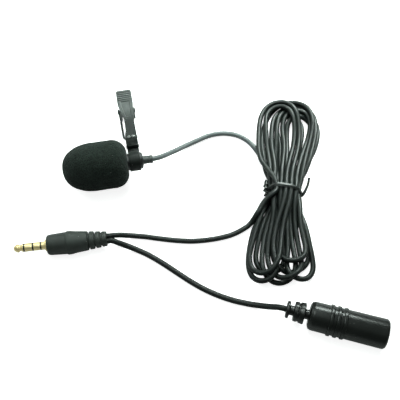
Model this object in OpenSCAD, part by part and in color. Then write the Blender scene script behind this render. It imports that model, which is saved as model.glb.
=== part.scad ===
// Lavalier microphone: foam windscreen, capsule, alligator clip, tied cord hank,
// four-pole 3.5 mm plug and a 3.5 mm headphone socket on a split cord.
// Millimetres, +Z up, lying on a table at z = 0, microphone axis along X.

/* [Windscreen] */
// Length of the foam windscreen
foam_length = 28.5; // [22:0.1:40]
// Widest diameter of the foam windscreen
foam_d = 21.4; // [16:0.1:30]
// Diameter of the flat rear face of the windscreen
foam_rear_d = 9.6; // [9:0.1:16]
// Length of the tapering front part of the windscreen
foam_nose = 18.0; // [10:0.5:25]
// Length of the rounded rear part of the windscreen
foam_tail = 7.4; // [3:0.1:10]
// Fullness of the windscreen's nose, 1 for a plain ellipse and less for a blunter one
foam_fullness = 0.86; // [0.7:0.01:1]
// Gap between the windscreen and the holder ring
foam_ring_gap = 0.8; // [0.4:0.1:3]

/* [Microphone head] */
// Outer diameter of the microphone barrel
barrel_d = 7.4; // [6:0.1:10]
// Wall thickness of the barrel
barrel_wall = 0.7; // [0.4:0.05:1.2]
// Length of the barrel
barrel_length = 19.4; // [14:0.1:24]
// Thickness of the pierced front grille
grille_t = 1.2; // [0.8:0.1:2]
// Diameter of each sound hole in the grille
grille_hole_d = 1.0; // [0.5:0.1:1.4]
// Wall of the rubber boot between the capsule and the barrel
boot_wall = 0.3; // [0.2:0.05:0.8]
// Length of the electret capsule
capsule_length = 2.7; // [1.5:0.1:5]
// Length of the rear cap beyond the barrel
cap_length = 1.2; // [0.8:0.1:3]
// Diameter of the cord collar
collar_d = 3.7; // [2.8:0.1:5]
// Length of the cord collar outside the cap
collar_length = 3.6; // [3.2:0.1:8]

/* [Clip] */
// Width of the holder ring along the microphone
ring_width = 4.8; // [3:0.1:8]
// Wall thickness of the holder ring
ring_wall = 0.55; // [0.5:0.05:1.5]
// Radial running clearance between barrel, ring and windscreen
running_gap = 0.03; // [0.01:0.01:0.1]
// Sheet thickness of both clip halves
sheet_t = 0.7; // [0.4:0.05:1.2]
// Distance from the microphone axis to the jaw tips
jaw_start = 8.0; // [6.5:0.1:10]
// Length of the toothed jaws
jaw_length = 6.2; // [4:0.1:10]
// Width of the jaws
jaw_width = 5.0; // [4:0.1:8]
// Width of the narrow arm of the thumb lever
arm_width = 4.0; // [3:0.1:6]
// Distance from the microphone axis to the pivot pin
pivot_y = 30.4; // [28.5:0.1:33]
// Distance from the microphone axis to the thumb end
clip_end = 37.4; // [36:0.1:46]
// Width of the thumb pad
pad_width = 6.2; // [5:0.1:8]
// Spread of the two thumb pads from the clip's middle plane
pad_rise = 6.3; // [4:0.1:8]
// Diameter of the pivot pin
pin_d = 1.5; // [1:0.1:2.5]
// Wire diameter of the torsion spring
spring_wire = 0.5; // [0.3:0.05:0.8]
// Number of turns in the torsion spring
spring_turns = 4; // [2:1:6]
// Downward lean of the clip from ring to thumb end
clip_droop = 6.7; // [0:0.1:10]
// Sideways set of the clip about its rivet
clip_lean = 2.2; // [0:0.1:4]
// Number of finger ridges on the thumb pad
pad_ridges = 5; // [3:1:6]

/* [Cord] */
// Diameter of the microphone cord and of the plug cord
cord_d = 2.0; // [1.5:0.1:3]
// Diameter of the split cord to the socket
split_d = 2.2; // [1.5:0.1:3]
// Number of turns in each layer of the hank
layer_turns = 2; // [1:1:3]
// Distance between turns, and between layers, at the waist
hank_step = 2.45; // [2.42:0.01:3]
// Distance between turns across the lobes
lobe_step = 3.4; // [2.5:0.1:4]
// Half length of the hank above the tie
hank_top = 50.2; // [30:0.1:60]
// Half length of the hank below the tie
hank_bottom = 45.0; // [30:0.1:60]
// Half width of the outermost turn across the lobes
hank_half_width = 17.6; // [12:0.1:24]
// Half width of the outermost turn at the tie
waist_half_width = 5.4; // [5:0.1:10]
// Thickness of the twist tie
tie_t = 0.5; // [0.4:0.05:1.2]
// Width of the twist tie
tie_width = 2.2; // [1:0.1:5]

/* [Plug] */
// Diameter of the plug's metal shank
plug_d = 3.5; // [3.5:0.01:3.5]
// Length of the plug's metal shank
plug_length = 14.0; // [14:0.1:14]
// Width of each black insulating band
band_width = 0.6; // [0.4:0.05:0.8]
// Diameter of the plug's moulded grip
grip_d = 9.1; // [6:0.1:12]
// Diameter of the raised bead around the grip
bead_d = 10.0; // [7:0.1:13]
// Length of the grip in front of the bead
grip_length = 8.2; // [5:0.1:12]
// Width of the raised bead
bead_width = 2.6; // [1:0.1:4]
// Length of the taper behind the bead
taper_length = 6.6; // [4:0.1:12]
// Length of the ribbed strain relief of the plug
relief_length = 7.8; // [4:0.1:12]
// Turn of the plug about Z from +X
plug_turn = -2; // [-45:1:45]

/* [Socket] */
// Diameter of the socket's moulded body
socket_d = 11.6; // [9:0.1:14]
// Length of the socket's moulded body
socket_length = 31.0; // [24:0.1:40]
// Diameter of the three raised ribs
rib_d = 12.7; // [10:0.1:15]
// Width of each raised rib
rib_width = 1.5; // [0.8:0.1:3]
// Length of the socket's strain relief
tail_length = 9.2; // [8.4:0.1:14]
// Radius clearance of the socket's hole around a 3.5 mm plug
socket_gap = 0.06; // [0.05:0.01:0.2]
// Depth of the socket's hole
socket_depth = 15.0; // [14:0.1:18]
// Turn of the socket about Z from +X
socket_turn = -24; // [-90:1:90]

/* [Hidden] */

black_rubber = [0.13, 0.14, 0.14];
black_metal = [0.16, 0.17, 0.17];
gold = [0.85, 0.72, 0.38];
eps = 0.01;
round_fn = 64;
fine_fn = 32;

// Position of the holder ring's centre.
mic_x = 11.8;
mic_y = -13.6;
mic_z = foam_d / 2;

// Microphone head, measured along X from the holder ring's centre.
barrel_rear = ring_width / 2 + 0.2;
barrel_front = barrel_rear - barrel_length;
barrel_bore_d = barrel_d - 2 * barrel_wall;
capsule_d = barrel_bore_d - 2 * boot_wall;
capsule_rim = 0.3;
foam_rear = -ring_width / 2 - foam_ring_gap;
foam_front = foam_rear - foam_length;
pocket_end = barrel_front - grille_t - 0.6;
spigot = 1.0;
felt_t = 0.6;
capsule_front = barrel_front + spigot + felt_t;
capsule_rear = capsule_front + capsule_length;
board_t = 0.6;
board_d = capsule_d - 2 * capsule_rim;
wire_d = 0.6;
wire_offset = 1.0;
crimp_d = 3.4;
crimp_length = 3.0;
cap_spigot = 2.6;
cap_face_d = 5.0;
crimp_rear = barrel_rear - cap_spigot + 0.2;
crimp_front = crimp_rear - crimp_length;
core_d = 1.2;

// Clip, measured from the holder ring's centre with Y towards the thumb end.
ring_id = barrel_d + 2 * running_gap;
ring_od = ring_id + 2 * ring_wall;
jaw_end = jaw_start + jaw_length;
grip_t = 0.8;
tooth = 0.5;
arm_end = 24.2;
frame_width = 6.6;
slot_start = 15.4;
slot_end = 27.0;
slot_half = 2.2;
ear_t = 0.6;
ear_half = pad_width / 2 + 0.15;
ear_reach = 3.0;
pin_reach = ear_half + ear_t + 0.4;
pin_head_d = 2.2;
flange_t = 0.6;
rivet_d = 1.0;
rivet_spacing = 2.0;
rivet_y = jaw_end - 0.9;
seat_y = jaw_start - 1.35;
pad_start = arm_end;
ridge_d = 0.7;
ridge_pitch = 0.95;
spring_r = pin_d / 2 + 0.35 + spring_wire / 2;
spring_pitch = 0.62;
leg_reach = 7.2;
leg_rise = 4.05;
curl_rings = 8;

// Cords.
hank_layers = 4;
extra_turn = 0.125;
turns = hank_layers * layer_turns + extra_turn;
hank_rings = 24;
hank_x = 75.4;
hank_y = -34.9;
hank_turn = -15.2;
start_angle = 30;
waist_span = 19;
tie_gap = 0.2;
hank_sides = 6;
cord_sides = 8;
flat_6 = cos(180 / hank_sides);
hank_z = 0.9;
waist_lift = 0.75;
lift_span = 12;
plug_x = -43.4;
plug_y = -45.1;
plug_z = bead_d / 2;
cord_spread = 1.15;
plug_end = plug_length + grip_length + bead_width + taper_length + relief_length;
socket_x = 64.0;
socket_y = -89.2;
socket_z = rib_d / 2;
socket_end = tail_length + socket_length;
table_z = cord_d / 2;
split_z = split_d / 2;

// How many turns inward of the outermost track the cord lies after n turns.
function hank_inward(n) = let (k = n / layer_turns, phase = k - 2 * floor(k / 2))
  n > hank_layers * layer_turns ? hank_layers * layer_turns - n
  : phase <= 1 ? phase * layer_turns : (2 - phase) * layer_turns;
function ease(s) = s <= 0 ? 0 : s >= 1 ? 1 : s * s * (3 - 2 * s);
function hank_climb(n) = ease((n - layer_turns + 0.25) * 2)
  + ease((n - 2 * layer_turns + 0.25) * 2) + ease((n - 3 * layer_turns + 0.25) * 2);
function hank_local(n) = let (
    a = start_angle - 360 * n,
    inward = hank_inward(n),
    reach = (sin(a) > 0 ? hank_top : hank_bottom) - cord_d / 2 - inward * lobe_step,
    v = reach * sin(a),
    pinch = exp(-pow(v / waist_span, 2)),
    lobe = hank_half_width - inward * lobe_step,
    waist = waist_half_width - inward * hank_step,
    lift = waist_lift * exp(-pow(v / lift_span, 2)))
  [-cos(a) * (lobe * (1 - pinch) + waist * pinch), v,
   hank_z + hank_climb(n) * hank_step + lift];
function turned_xy(p, a) = [p[0] * cos(a) - p[1] * sin(a), p[0] * sin(a) + p[1] * cos(a), p[2]];
function hank_point(n) = turned_xy(hank_local(n), hank_turn) + [hank_x, hank_y, 0];
hank_path = [for (i = [0:turns * hank_rings]) hank_point(i / hank_rings)];
function unit(v) = v / norm(v);
function flat(v) = [v[0], v[1], 0];
hank_last = len(hank_path) - 1;
hank_in = unit(flat(hank_path[1] - hank_path[0]));
hank_out = unit(flat(hank_path[hank_last] - hank_path[hank_last - 1]));
hank_start = hank_path[0] - hank_in * cord_d;
hank_finish = hank_path[hank_last] + hank_out * cord_d;
hank_tube = concat([hank_start], hank_path, [hank_finish]);

collar_end = mic_x + barrel_rear + cap_length + collar_length;
mic_path = [[collar_end, mic_y, mic_z], [collar_end + 1.8, mic_y, mic_z],
  [24, -11.9, 8.9], [27.5, -9.2, 6.4], [31, -6.6, 4.1], [34.6, -4.1, 2.3], [38.5, -2.1, 1.3],
  [42.5, -0.6, table_z], [46.5, 0.7, table_z], [51, 1.5, table_z], [55.5, 1.4, table_z],
  [60, 0.2, table_z], [63.8, -1.4, table_z], hank_start - hank_in * cord_d, hank_start];
plug_start = [plug_x, plug_y, plug_z];
function plug_point(x, y) = plug_start + turned_xy([x, y, 0], plug_turn);
plug_cord_path = [hank_finish, hank_finish + hank_out * cord_d, [59, -47.4, 8.7],
  [56.2, -49.2, 8.1], [52.5, -50.6, 6.2], [48.5, -51.4, 3.8], [44.5, -51.9, 1.9],
  [40.5, -52.1, table_z], [36, -52, table_z], [31.5, -51.6, table_z],
  [26.5, -50.6, table_z], [21.5, -49.3, table_z], [16.5, -47.8, table_z],
  [12, -46.4, table_z], [8, -45.5, 1.4], [4, -45.1, 2.6], [0.6, -45.1, 4],
  plug_point(plug_end + 2, cord_spread), plug_point(plug_end, cord_spread)];
socket_dir = [cos(socket_turn), sin(socket_turn), 0];
socket_start = [socket_x, socket_y, socket_z];
split_path = [plug_point(plug_end, -cord_spread), plug_point(plug_end + 2, -cord_spread),
  [0.6, -48.9, 4.1], [3.6, -50.1, 2.8], [7, -51.7, 1.7], [10.5, -53.8, split_z],
  [14, -56.5, split_z], [18.5, -60.5, split_z], [23.4, -65.2, split_z],
  [28.5, -70, split_z], [33.6, -74.2, split_z], [39, -77.8, split_z],
  [44.6, -80.8, split_z], [49.5, -82.8, split_z], [53.5, -84.4, 1.9], [57.6, -86.2, 3.6],
  socket_start - socket_dir * 2.6, socket_start];

// Least distance between two turns of the hank, less the cord's own diameter.
loop_gap = min([for (i = [0:hank_last], j = [i + 12:1:hank_last])
  norm(hank_path[i] - hank_path[j])]) - cord_d;
function path_length(p) = len(p) < 2 ? 0 : norm_sum(p, len(p) - 1);
function norm_sum(p, i) = i == 0 ? 0 : norm(p[i] - p[i - 1]) + norm_sum(p, i - 1);
echo(loop_gap = loop_gap);
echo(hank_length = path_length(hank_tube));
echo(mic_cord_length = path_length(mic_path));
echo(plug_cord_length = path_length(plug_cord_path));
echo(split_cord_length = path_length(split_path));

// A round tube along a list of points, with flat ends square to the path.
function tangent(p, i) = unit(p[min(len(p) - 1, i + 1)] - p[max(0, i - 1)]);
function hoop(c, t, r, sides, ref) = let (
    n = unit(cross(t, ref)),
    b = cross(n, t))
  [for (k = [0:sides - 1]) let (a = 90 - 180 / sides + 360 * k / sides)
    c + r * (cos(a) * n + sin(a) * b)];
module tube(p, d, sides, ref = [0, 0, 1]) {
  rings = len(p);
  points = [for (i = [0:rings - 1]) each hoop(p[i], tangent(p, i), d / 2, sides, ref)];
  walls = [for (i = [0:rings - 2], k = [0:sides - 1]) let (
      a = i * sides + k,
      b = i * sides + (k + 1) % sides)
    each [[a, b, b + sides], [a, b + sides, a + sides]]];
  first_cap = [for (k = [sides - 1:-1:0]) k];
  last_cap = [for (k = [0:sides - 1]) (rings - 1) * sides + k];
  polyhedron(points = points, faces = concat(walls, [first_cap, last_cap]), convexity = 10);
}

// A turned solid about X from a list of [radius, x] points.
module turned(profile, fn = round_fn) {
  rotate([0, 90, 0]) rotate_extrude($fn = fn) polygon(profile);
}
// A rod along X from x0 to x1.
module rod(d, x0, x1, fn = fine_fn) {
  translate([x0, 0, 0]) rotate([0, 90, 0]) cylinder(d = d, h = x1 - x0, $fn = fn);
}
// A plate drawn in the Y-Z plane, centred on X.
module side_plate(profile, width) {
  translate([-width / 2, 0, 0]) rotate([90, 0, 90]) linear_extrude(height = width)
    polygon(profile);
}
module at_mic() {
  translate([mic_x, mic_y, mic_z]) children();
}
module at_clip() {
  at_mic() rotate([-clip_droop, 0, 0]) children();
}
// The clip's halves sit slightly askew on the rivet that joins them to the ring.
module at_jaws() {
  at_clip() translate([0, seat_y, 0]) rotate([0, 0, clip_lean]) translate([0, -seat_y, 0])
    children();
}
module at_plug() {
  translate(plug_start) rotate([0, 0, plug_turn]) children();
}
module at_socket() {
  translate(socket_start) rotate([0, 0, socket_turn]) children();
}

// Microphone head.
module mic_barrel() {
  color(black_metal) at_mic() difference() {
    rod(barrel_d, barrel_front, barrel_rear, round_fn);
    rod(barrel_bore_d, barrel_front - eps, barrel_rear + eps, round_fn);
  }
}
module front_grille() {
  color(black_metal) at_mic() difference() {
    union() {
      turned([[0, barrel_front - grille_t], [barrel_d / 2 - 0.4, barrel_front - grille_t],
        [barrel_d / 2, barrel_front - grille_t + 0.4], [barrel_d / 2, barrel_front],
        [0, barrel_front]]);
      rod(barrel_bore_d, barrel_front, barrel_front + spigot, round_fn);
    }
    rod(grille_hole_d, barrel_front - 2, barrel_front + 2);
    for (a = [0:60:300]) rotate([a, 0, 0]) translate([0, 0, 2 * grille_hole_d])
      rod(grille_hole_d, barrel_front - 2, barrel_front + 2);
  }
}
module dust_felt() {
  color([0.08, 0.08, 0.08]) at_mic()
    rod(barrel_bore_d, barrel_front + spigot, barrel_front + spigot + felt_t, round_fn);
}
module electret_capsule() {
  color([0.75, 0.76, 0.77]) at_mic() difference() {
    turned([[0, capsule_front], [board_d / 2, capsule_front],
      [capsule_d / 2, capsule_front + capsule_rim], [capsule_d / 2, capsule_rear],
      [board_d / 2, capsule_rear], [board_d / 2, capsule_rear - capsule_rim],
      [0, capsule_rear - capsule_rim]]);
    rod(1.5, capsule_front - eps, capsule_front + 0.5);
  }
}
module capsule_boot() {
  color(black_rubber) at_mic() difference() {
    rod(barrel_bore_d, capsule_front, capsule_rear + 0.8, round_fn);
    rod(capsule_d, capsule_front - eps, capsule_rear, round_fn);
    rod(board_d, capsule_rear - eps, capsule_rear + 1, round_fn);
  }
}
module capsule_board() {
  color([0.12, 0.35, 0.2]) at_mic() union() {
    rod(board_d, capsule_rear - capsule_rim, capsule_rear - capsule_rim + board_t, round_fn);
    for (s = [-1, 1]) translate([0, s * wire_offset, 0])
      rod(wire_d + 0.6, capsule_rear - capsule_rim, capsule_rear + board_t);
  }
}
module core_wire(side) {
  at_mic() translate([0, side * wire_offset, 0])
    rod(wire_d, capsule_rear + board_t, crimp_front);
}
module signal_wire() {
  color([0.75, 0.12, 0.1]) core_wire(1);
}
module ground_wire() {
  color([0.85, 0.85, 0.82]) core_wire(-1);
}
module cord_crimp() {
  color([0.7, 0.7, 0.68]) at_mic() union() {
    rod(crimp_d, crimp_front, crimp_rear - 0.4);
    rod(cord_d + 0.6, crimp_rear - 0.4, crimp_rear);
  }
}
module rear_cap() {
  flange = barrel_rear + cap_length;
  color(black_metal) at_mic() difference() {
    union() {
      rod(barrel_bore_d, barrel_rear - cap_spigot, barrel_rear, round_fn);
      turned([[0, barrel_rear], [barrel_d / 2, barrel_rear],
        [barrel_d / 2, barrel_rear + 0.4], [barrel_d / 2 - 0.35, barrel_rear + 0.95],
        [barrel_d / 2 - 0.9, flange - 0.15], [cap_face_d / 2, flange], [0, flange]]);
    }
    rod(crimp_d, crimp_front - eps, crimp_rear - 0.4);
    rod(cord_d + 0.6, crimp_rear - 0.5, crimp_rear);
    rod(core_d, crimp_front, flange - 1);
    rod(collar_d - 0.6, flange - 1.2, flange + eps);
  }
}
module cord_collar() {
  flange = barrel_rear + cap_length;
  color(black_rubber) at_mic() union() {
    rod(collar_d - 0.6, flange - 1.2, flange);
    turned([[0, flange], [collar_d / 2, flange], [collar_d / 2, flange + 0.9],
      [collar_d / 2 - 0.25, flange + 1.0], [collar_d / 2 - 0.25, flange + 1.4],
      [collar_d / 2 - 0.1, flange + 1.5], [collar_d / 2 - 0.1, flange + 2.3],
      [collar_d / 2 - 0.35, flange + 2.4], [collar_d / 2 - 0.35, flange + 2.8],
      [collar_d / 2 - 0.2, flange + 2.9], [collar_d / 2 - 0.2, flange + collar_length - 0.3],
      [cord_d / 2 + 0.3, flange + collar_length], [0, flange + collar_length]], fine_fn);
  }
}

// Foam windscreen: a hollow egg that pushes over the barrel.
module foam_windscreen() {
  nose = [for (a = [9:9:90]) [foam_d / 2 * pow(sin(a), foam_fullness),
    foam_front + foam_nose * (1 - cos(a))]];
  tail_r = (foam_d - foam_rear_d) / 2;
  tail = [for (a = [0:10:90])
    [foam_rear_d / 2 + tail_r * cos(a), foam_rear - foam_tail + foam_tail * sin(a)]];
  color([0.1, 0.11, 0.11]) at_mic() difference() {
    turned(concat([[0, foam_front]], nose, tail, [[0, foam_rear]]), 96);
    rod(barrel_d + 2 * running_gap, pocket_end, foam_rear + eps, round_fn);
  }
}

// Clip.
module holder_ring() {
  half = ring_width / 2;
  edge = 0.25;
  color(black_metal) at_clip() difference() {
    union() {
      turned([[ring_id / 2 - 0.5, -half], [ring_od / 2 - edge, -half],
        [ring_od / 2, -half + edge], [ring_od / 2, half - edge],
        [ring_od / 2 - edge, half], [ring_id / 2 - 0.5, half]]);
      translate([-half, ring_id / 2 - 0.2, -grip_t])
        cube([ring_width, jaw_start - 0.3 - ring_id / 2 + 0.2, grip_t]);
    }
    rod(ring_id, -half - eps, half + eps, round_fn);
    translate([0, seat_y, -grip_t - eps]) cylinder(d = rivet_d, h = 2, $fn = fine_fn);
  }
}
module holder_rivet() {
  color([0.5, 0.5, 0.5]) at_clip() translate([0, seat_y, 0]) union() {
    translate([0, 0, -grip_t - sheet_t]) cylinder(d = rivet_d, h = grip_t + sheet_t, $fn = fine_fn);
    translate([0, 0, -grip_t - sheet_t - 0.25]) cylinder(d = rivet_d + 0.6, h = 0.25, $fn = fine_fn);
    cylinder(d = rivet_d + 0.6, h = 0.2, $fn = fine_fn);
  }
}
frame_line = [[jaw_start - 2.1, -grip_t], [jaw_end, -grip_t], [arm_end, -2.7],
  [pivot_y, -4.0], [clip_end, -pad_rise + sheet_t]];
arm_rise = 2.9;
lever_line = [[jaw_start, grip_t], [jaw_end, grip_t], [arm_end, arm_rise],
  [clip_end, pad_rise]];
function shifted(line, dz) = [for (p = line) [p[0], p[1] + dz]];
function reversed(line) = [for (i = [len(line) - 1:-1:0]) line[i]];
function sheet(line, dz) = concat(line, reversed(shifted(line, dz)));
module clip_frame() {
  color(black_metal) at_jaws() difference() {
    union() {
      intersection() {
        side_plate(sheet(frame_line, -sheet_t), frame_width);
        translate([0, 0, -8]) linear_extrude(height = 10) polygon([
          [-jaw_width / 2, 0], [jaw_width / 2, 0], [jaw_width / 2, jaw_end - 0.2],
          [frame_width / 2, slot_start - 0.4], [frame_width / 2, clip_end + 1],
          [-frame_width / 2, clip_end + 1], [-frame_width / 2, slot_start - 0.4],
          [-jaw_width / 2, jaw_end - 0.2]]);
      }
      side_plate([[pivot_y - ear_reach, -3.5], [pivot_y + ear_reach, -4.6],
        [pivot_y + ear_reach, -5.3], [pivot_y - ear_reach, -4.2]], 2 * (ear_half + ear_t));
      for (s = [-1, 1]) translate([s * (ear_half + ear_t / 2), 0, 0]) union() {
        side_plate([[pivot_y - ear_reach, -4.2], [pivot_y + ear_reach, -5.3],
          [pivot_y + ear_reach, -2.6], [pivot_y + 1.4, 0], [pivot_y - 1.4, 0],
          [pivot_y - ear_reach, -2.6]], ear_t);
        translate([0, pivot_y, 0]) rod(2.8, -ear_t / 2, ear_t / 2);
      }
      translate([0, clip_end, -pad_rise + sheet_t / 2])
        rod(sheet_t, -frame_width / 2, frame_width / 2);
    }
    translate([-slot_half, slot_start, -8]) cube([2 * slot_half, slot_end - slot_start, 10]);
    translate([0, pivot_y, 0]) rod(pin_d, -6, 6);
    translate([0, seat_y, -4]) cylinder(d = rivet_d, h = 4, $fn = fine_fn);
  }
}
module back_jaw_grip() {
  color(black_rubber) at_jaws() side_plate(concat(
    [[jaw_start, -grip_t]],
    [for (i = [0:5]) each [[jaw_start + i, -tooth - 0.02], [jaw_start + i + 0.5, -0.02]]],
    [[jaw_end, -tooth - 0.02], [jaw_end, -grip_t]]), jaw_width);
}
module pivot_pin() {
  color([0.55, 0.56, 0.57]) at_jaws() translate([0, pivot_y, 0]) union() {
    rod(pin_d, -pin_reach, pin_reach);
    for (s = [-1, 1]) translate([s * (ear_half + ear_t + 0.2), 0, 0]) rod(pin_head_d, -0.2, 0.2);
  }
}
module torsion_spring() {
  half = spring_turns * spring_pitch / 2;
  lower = [half, pivot_y + leg_reach, -leg_rise];
  upper = [-half, pivot_y + leg_reach, leg_rise];
  wrap = acos(spring_r / norm([leg_reach, leg_rise])) + atan(leg_rise / leg_reach);
  sweep = 360 * spring_turns - 2 * wrap;
  rings = round(sweep / 360 * curl_rings);
  coil = [for (i = [0:rings]) let (a = -wrap - sweep * i / rings)
    [half - 2 * half * i / rings, pivot_y + spring_r * cos(a), spring_r * sin(a)]];
  color([0.7, 0.71, 0.72]) at_jaws()
    tube(concat([lower], coil, [upper]), spring_wire, 6, [1, 0, 0]);
}
module thumb_lever() {
  edge = pad_width / 2;
  color(black_metal) at_jaws() difference() {
    union() {
      intersection() {
        side_plate(sheet(lever_line, sheet_t), pad_width);
        union() {
          translate([-jaw_width / 2, jaw_start - 1, -2]) cube([jaw_width, jaw_length + 1, 12]);
          translate([-arm_width / 2, jaw_end - 1, -2])
            cube([arm_width, arm_end - jaw_end + 2, 12]);
          linear_extrude(height = 12) polygon([[-arm_width / 2, pad_start - 1.2],
            [arm_width / 2, pad_start - 1.2], [edge, pad_start + 2], [edge, clip_end - 0.8],
            [edge - 0.8, clip_end], [0.8 - edge, clip_end], [-edge, clip_end - 0.8],
            [-edge, pad_start + 2]]);
        }
      }
      side_plate([[jaw_start - 0.4, 0.1], [jaw_start, 0.1], [jaw_start, grip_t + sheet_t + 0.3],
        [jaw_start - 0.4, grip_t + sheet_t]], jaw_width + 0.4);
      for (s = [-1, 1]) translate([s * (edge - flange_t / 2), 0, 0]) union() {
        side_plate([[pad_start + 2, lever_height(pad_start + 2) + 0.2],
          [pad_start + 2.9, 2.2], [pivot_y - 1.8, -0.6], [pivot_y - 1.2, -1.3],
          [pivot_y + 1.2, -1.3], [pivot_y + 1.8, -0.6], [clip_end - 2.6, 4.4],
          [clip_end - 1, lever_height(clip_end - 1) + 0.2]], flange_t);
      }
      for (i = [0:pad_ridges - 1]) let (y = clip_end - 0.9 - i * ridge_pitch)
        translate([0, y, lever_height(y) + sheet_t]) rod(ridge_d, -edge + 0.4, edge - 0.4);
    }
    translate([0, pivot_y, 0]) rod(pin_d + 2 * running_gap, -6, 6);
    hull_panel();
    for (s = [-1, 1]) translate([s * rivet_spacing / 2, rivet_y, 0])
      cylinder(d = rivet_d, h = 3, $fn = fine_fn);
  }
}
function lever_height(y) = arm_rise
  + (pad_rise - arm_rise) * (y - arm_end) / (clip_end - arm_end);
// Shallow recess below the finger ridges.
module hull_panel() {
  slope = atan((pad_rise - arm_rise) / (clip_end - arm_end));
  translate([0, arm_end, arm_rise + sheet_t - 0.2]) rotate([slope, 0, 0])
    linear_extrude(height = 1) polygon([[-1.3, 1.2], [1.3, 1.2], [2.1, 7.4], [-2.1, 7.4]]);
}
module front_jaw_grip() {
  color(black_rubber) at_jaws() difference() {
    side_plate(concat(
      [[jaw_start, grip_t]],
      [for (i = [0:5]) each [[jaw_start + i, 0.02], [jaw_start + i + 0.5, tooth + 0.02]]],
      [[jaw_end, 0.02], [jaw_end, grip_t]]), jaw_width);
    for (s = [-1, 1]) translate([s * rivet_spacing / 2, rivet_y, 0.5])
      cylinder(d = rivet_d, h = 1, $fn = fine_fn);
  }
}
module jaw_rivet(side) {
  top = grip_t + sheet_t;
  color([0.62, 0.63, 0.64]) at_jaws() translate([side * rivet_spacing / 2, rivet_y, 0]) union() {
    translate([0, 0, 0.5]) cylinder(d = rivet_d, h = top - 0.5, $fn = fine_fn);
    translate([0, 0, top]) cylinder(d1 = rivet_d + 0.6, d2 = rivet_d, h = 0.4, $fn = fine_fn);
  }
}
module left_jaw_rivet() {
  jaw_rivet(-1);
}
module right_jaw_rivet() {
  jaw_rivet(1);
}

// Cords.
module mic_cord() {
  color(black_rubber) tube(mic_path, cord_d, cord_sides);
}
module cord_hank() {
  color(black_rubber) tube(hank_tube, cord_d, hank_sides);
}
module plug_cord() {
  color(black_rubber) tube(plug_cord_path, cord_d, cord_sides);
}
module split_cord() {
  color(black_rubber) tube(split_path, split_d, cord_sides);
}
tie_floor = hank_z + waist_lift - cord_d / 2 * flat_6 - tie_gap;
tie_ceiling = hank_z + waist_lift + (hank_layers - 1) * hank_step + cord_d / 2 + tie_gap;
// The last strand crosses the tie at a slant, so it takes twice its own step.
tie_half = waist_half_width + 2 * extra_turn * hank_step + cord_d / 2 + tie_gap;
tie_corner = cord_d / 2 + tie_gap;
module tie_outline(grow) {
  r = tie_corner + grow;
  w = tie_half + grow - r;
  for (u = [-w, w], z = [tie_floor - grow + r, tie_ceiling + grow - r])
    translate([u, z]) circle(r = r, $fn = fine_fn);
  translate([-w, tie_floor - grow]) square([2 * w, tie_ceiling - tie_floor + 2 * grow]);
  translate([-w - r, tie_floor - grow + r])
    square([2 * (w + r), tie_ceiling - tie_floor + 2 * grow - 2 * r]);
}
module at_tie() {
  translate([hank_x, hank_y, 0]) rotate([0, 0, hank_turn]) children();
}
module twist_tie() {
  color(black_rubber) at_tie() translate([0, tie_width / 2, 0]) rotate([90, 0, 0])
    linear_extrude(height = tie_width) difference() {
      tie_outline(tie_t);
      tie_outline(0);
    }
}
module tie_tail() {
  root = [tie_half + tie_t, 0, 5];
  color(black_rubber) at_tie() tube([root, root + [0.9, 0, 0], root + [1.8, 0.7, 0.2],
    root + [2.6, 2.1, 0.4], root + [3, 3.8, 0.5], root + [3.1, 5.4, 0.4]], 1.1, cord_sides);
}

// Plug, measured along X from its tip.
band_1 = 4.2;
band_2 = 7.9;
band_3 = 11.2;
plug_core_d = 2.3;
sleeve_flange = 5.0;
sleeve_root = 3.0;
module plug_tip() {
  color(gold) at_plug() turned([[0, 0], [0.7, 0.15], [1.55, 1.15], [plug_d / 2, 1.7],
    [plug_d / 2, 2.0], [1.2, 2.75], [1.2, 3.1], [plug_d / 2, 3.8], [plug_d / 2, band_1],
    [0, band_1]]);
}
module plug_band(x0, x1) {
  color(gold) at_plug() difference() {
    rod(plug_d, x0, x1, round_fn);
    rod(plug_core_d, x0 - eps, x1 + eps, round_fn);
  }
}
module plug_ring_front() {
  plug_band(band_1 + band_width, band_2);
}
module plug_ring_rear() {
  plug_band(band_2 + band_width, band_3);
}
module plug_sleeve() {
  color(gold) at_plug() difference() {
    turned([[plug_core_d / 2 - 0.5, band_3 + band_width], [plug_d / 2, band_3 + band_width],
      [plug_d / 2, plug_length - 0.8], [2.3, plug_length - 0.6],
      [sleeve_flange / 2, plug_length - 0.4], [sleeve_flange / 2, plug_length],
      [sleeve_flange / 2, plug_length + sleeve_root],
      [plug_core_d / 2 - 0.5, plug_length + sleeve_root]]);
    rod(plug_core_d, 0, plug_length + sleeve_root + eps, round_fn);
  }
}
module plug_insulation() {
  color([0.05, 0.05, 0.05]) at_plug() union() {
    rod(plug_core_d, band_1, plug_length + sleeve_root + 1, round_fn);
    for (x = [band_1, band_2, band_3]) rod(plug_d, x, x + band_width, round_fn);
  }
}
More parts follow.
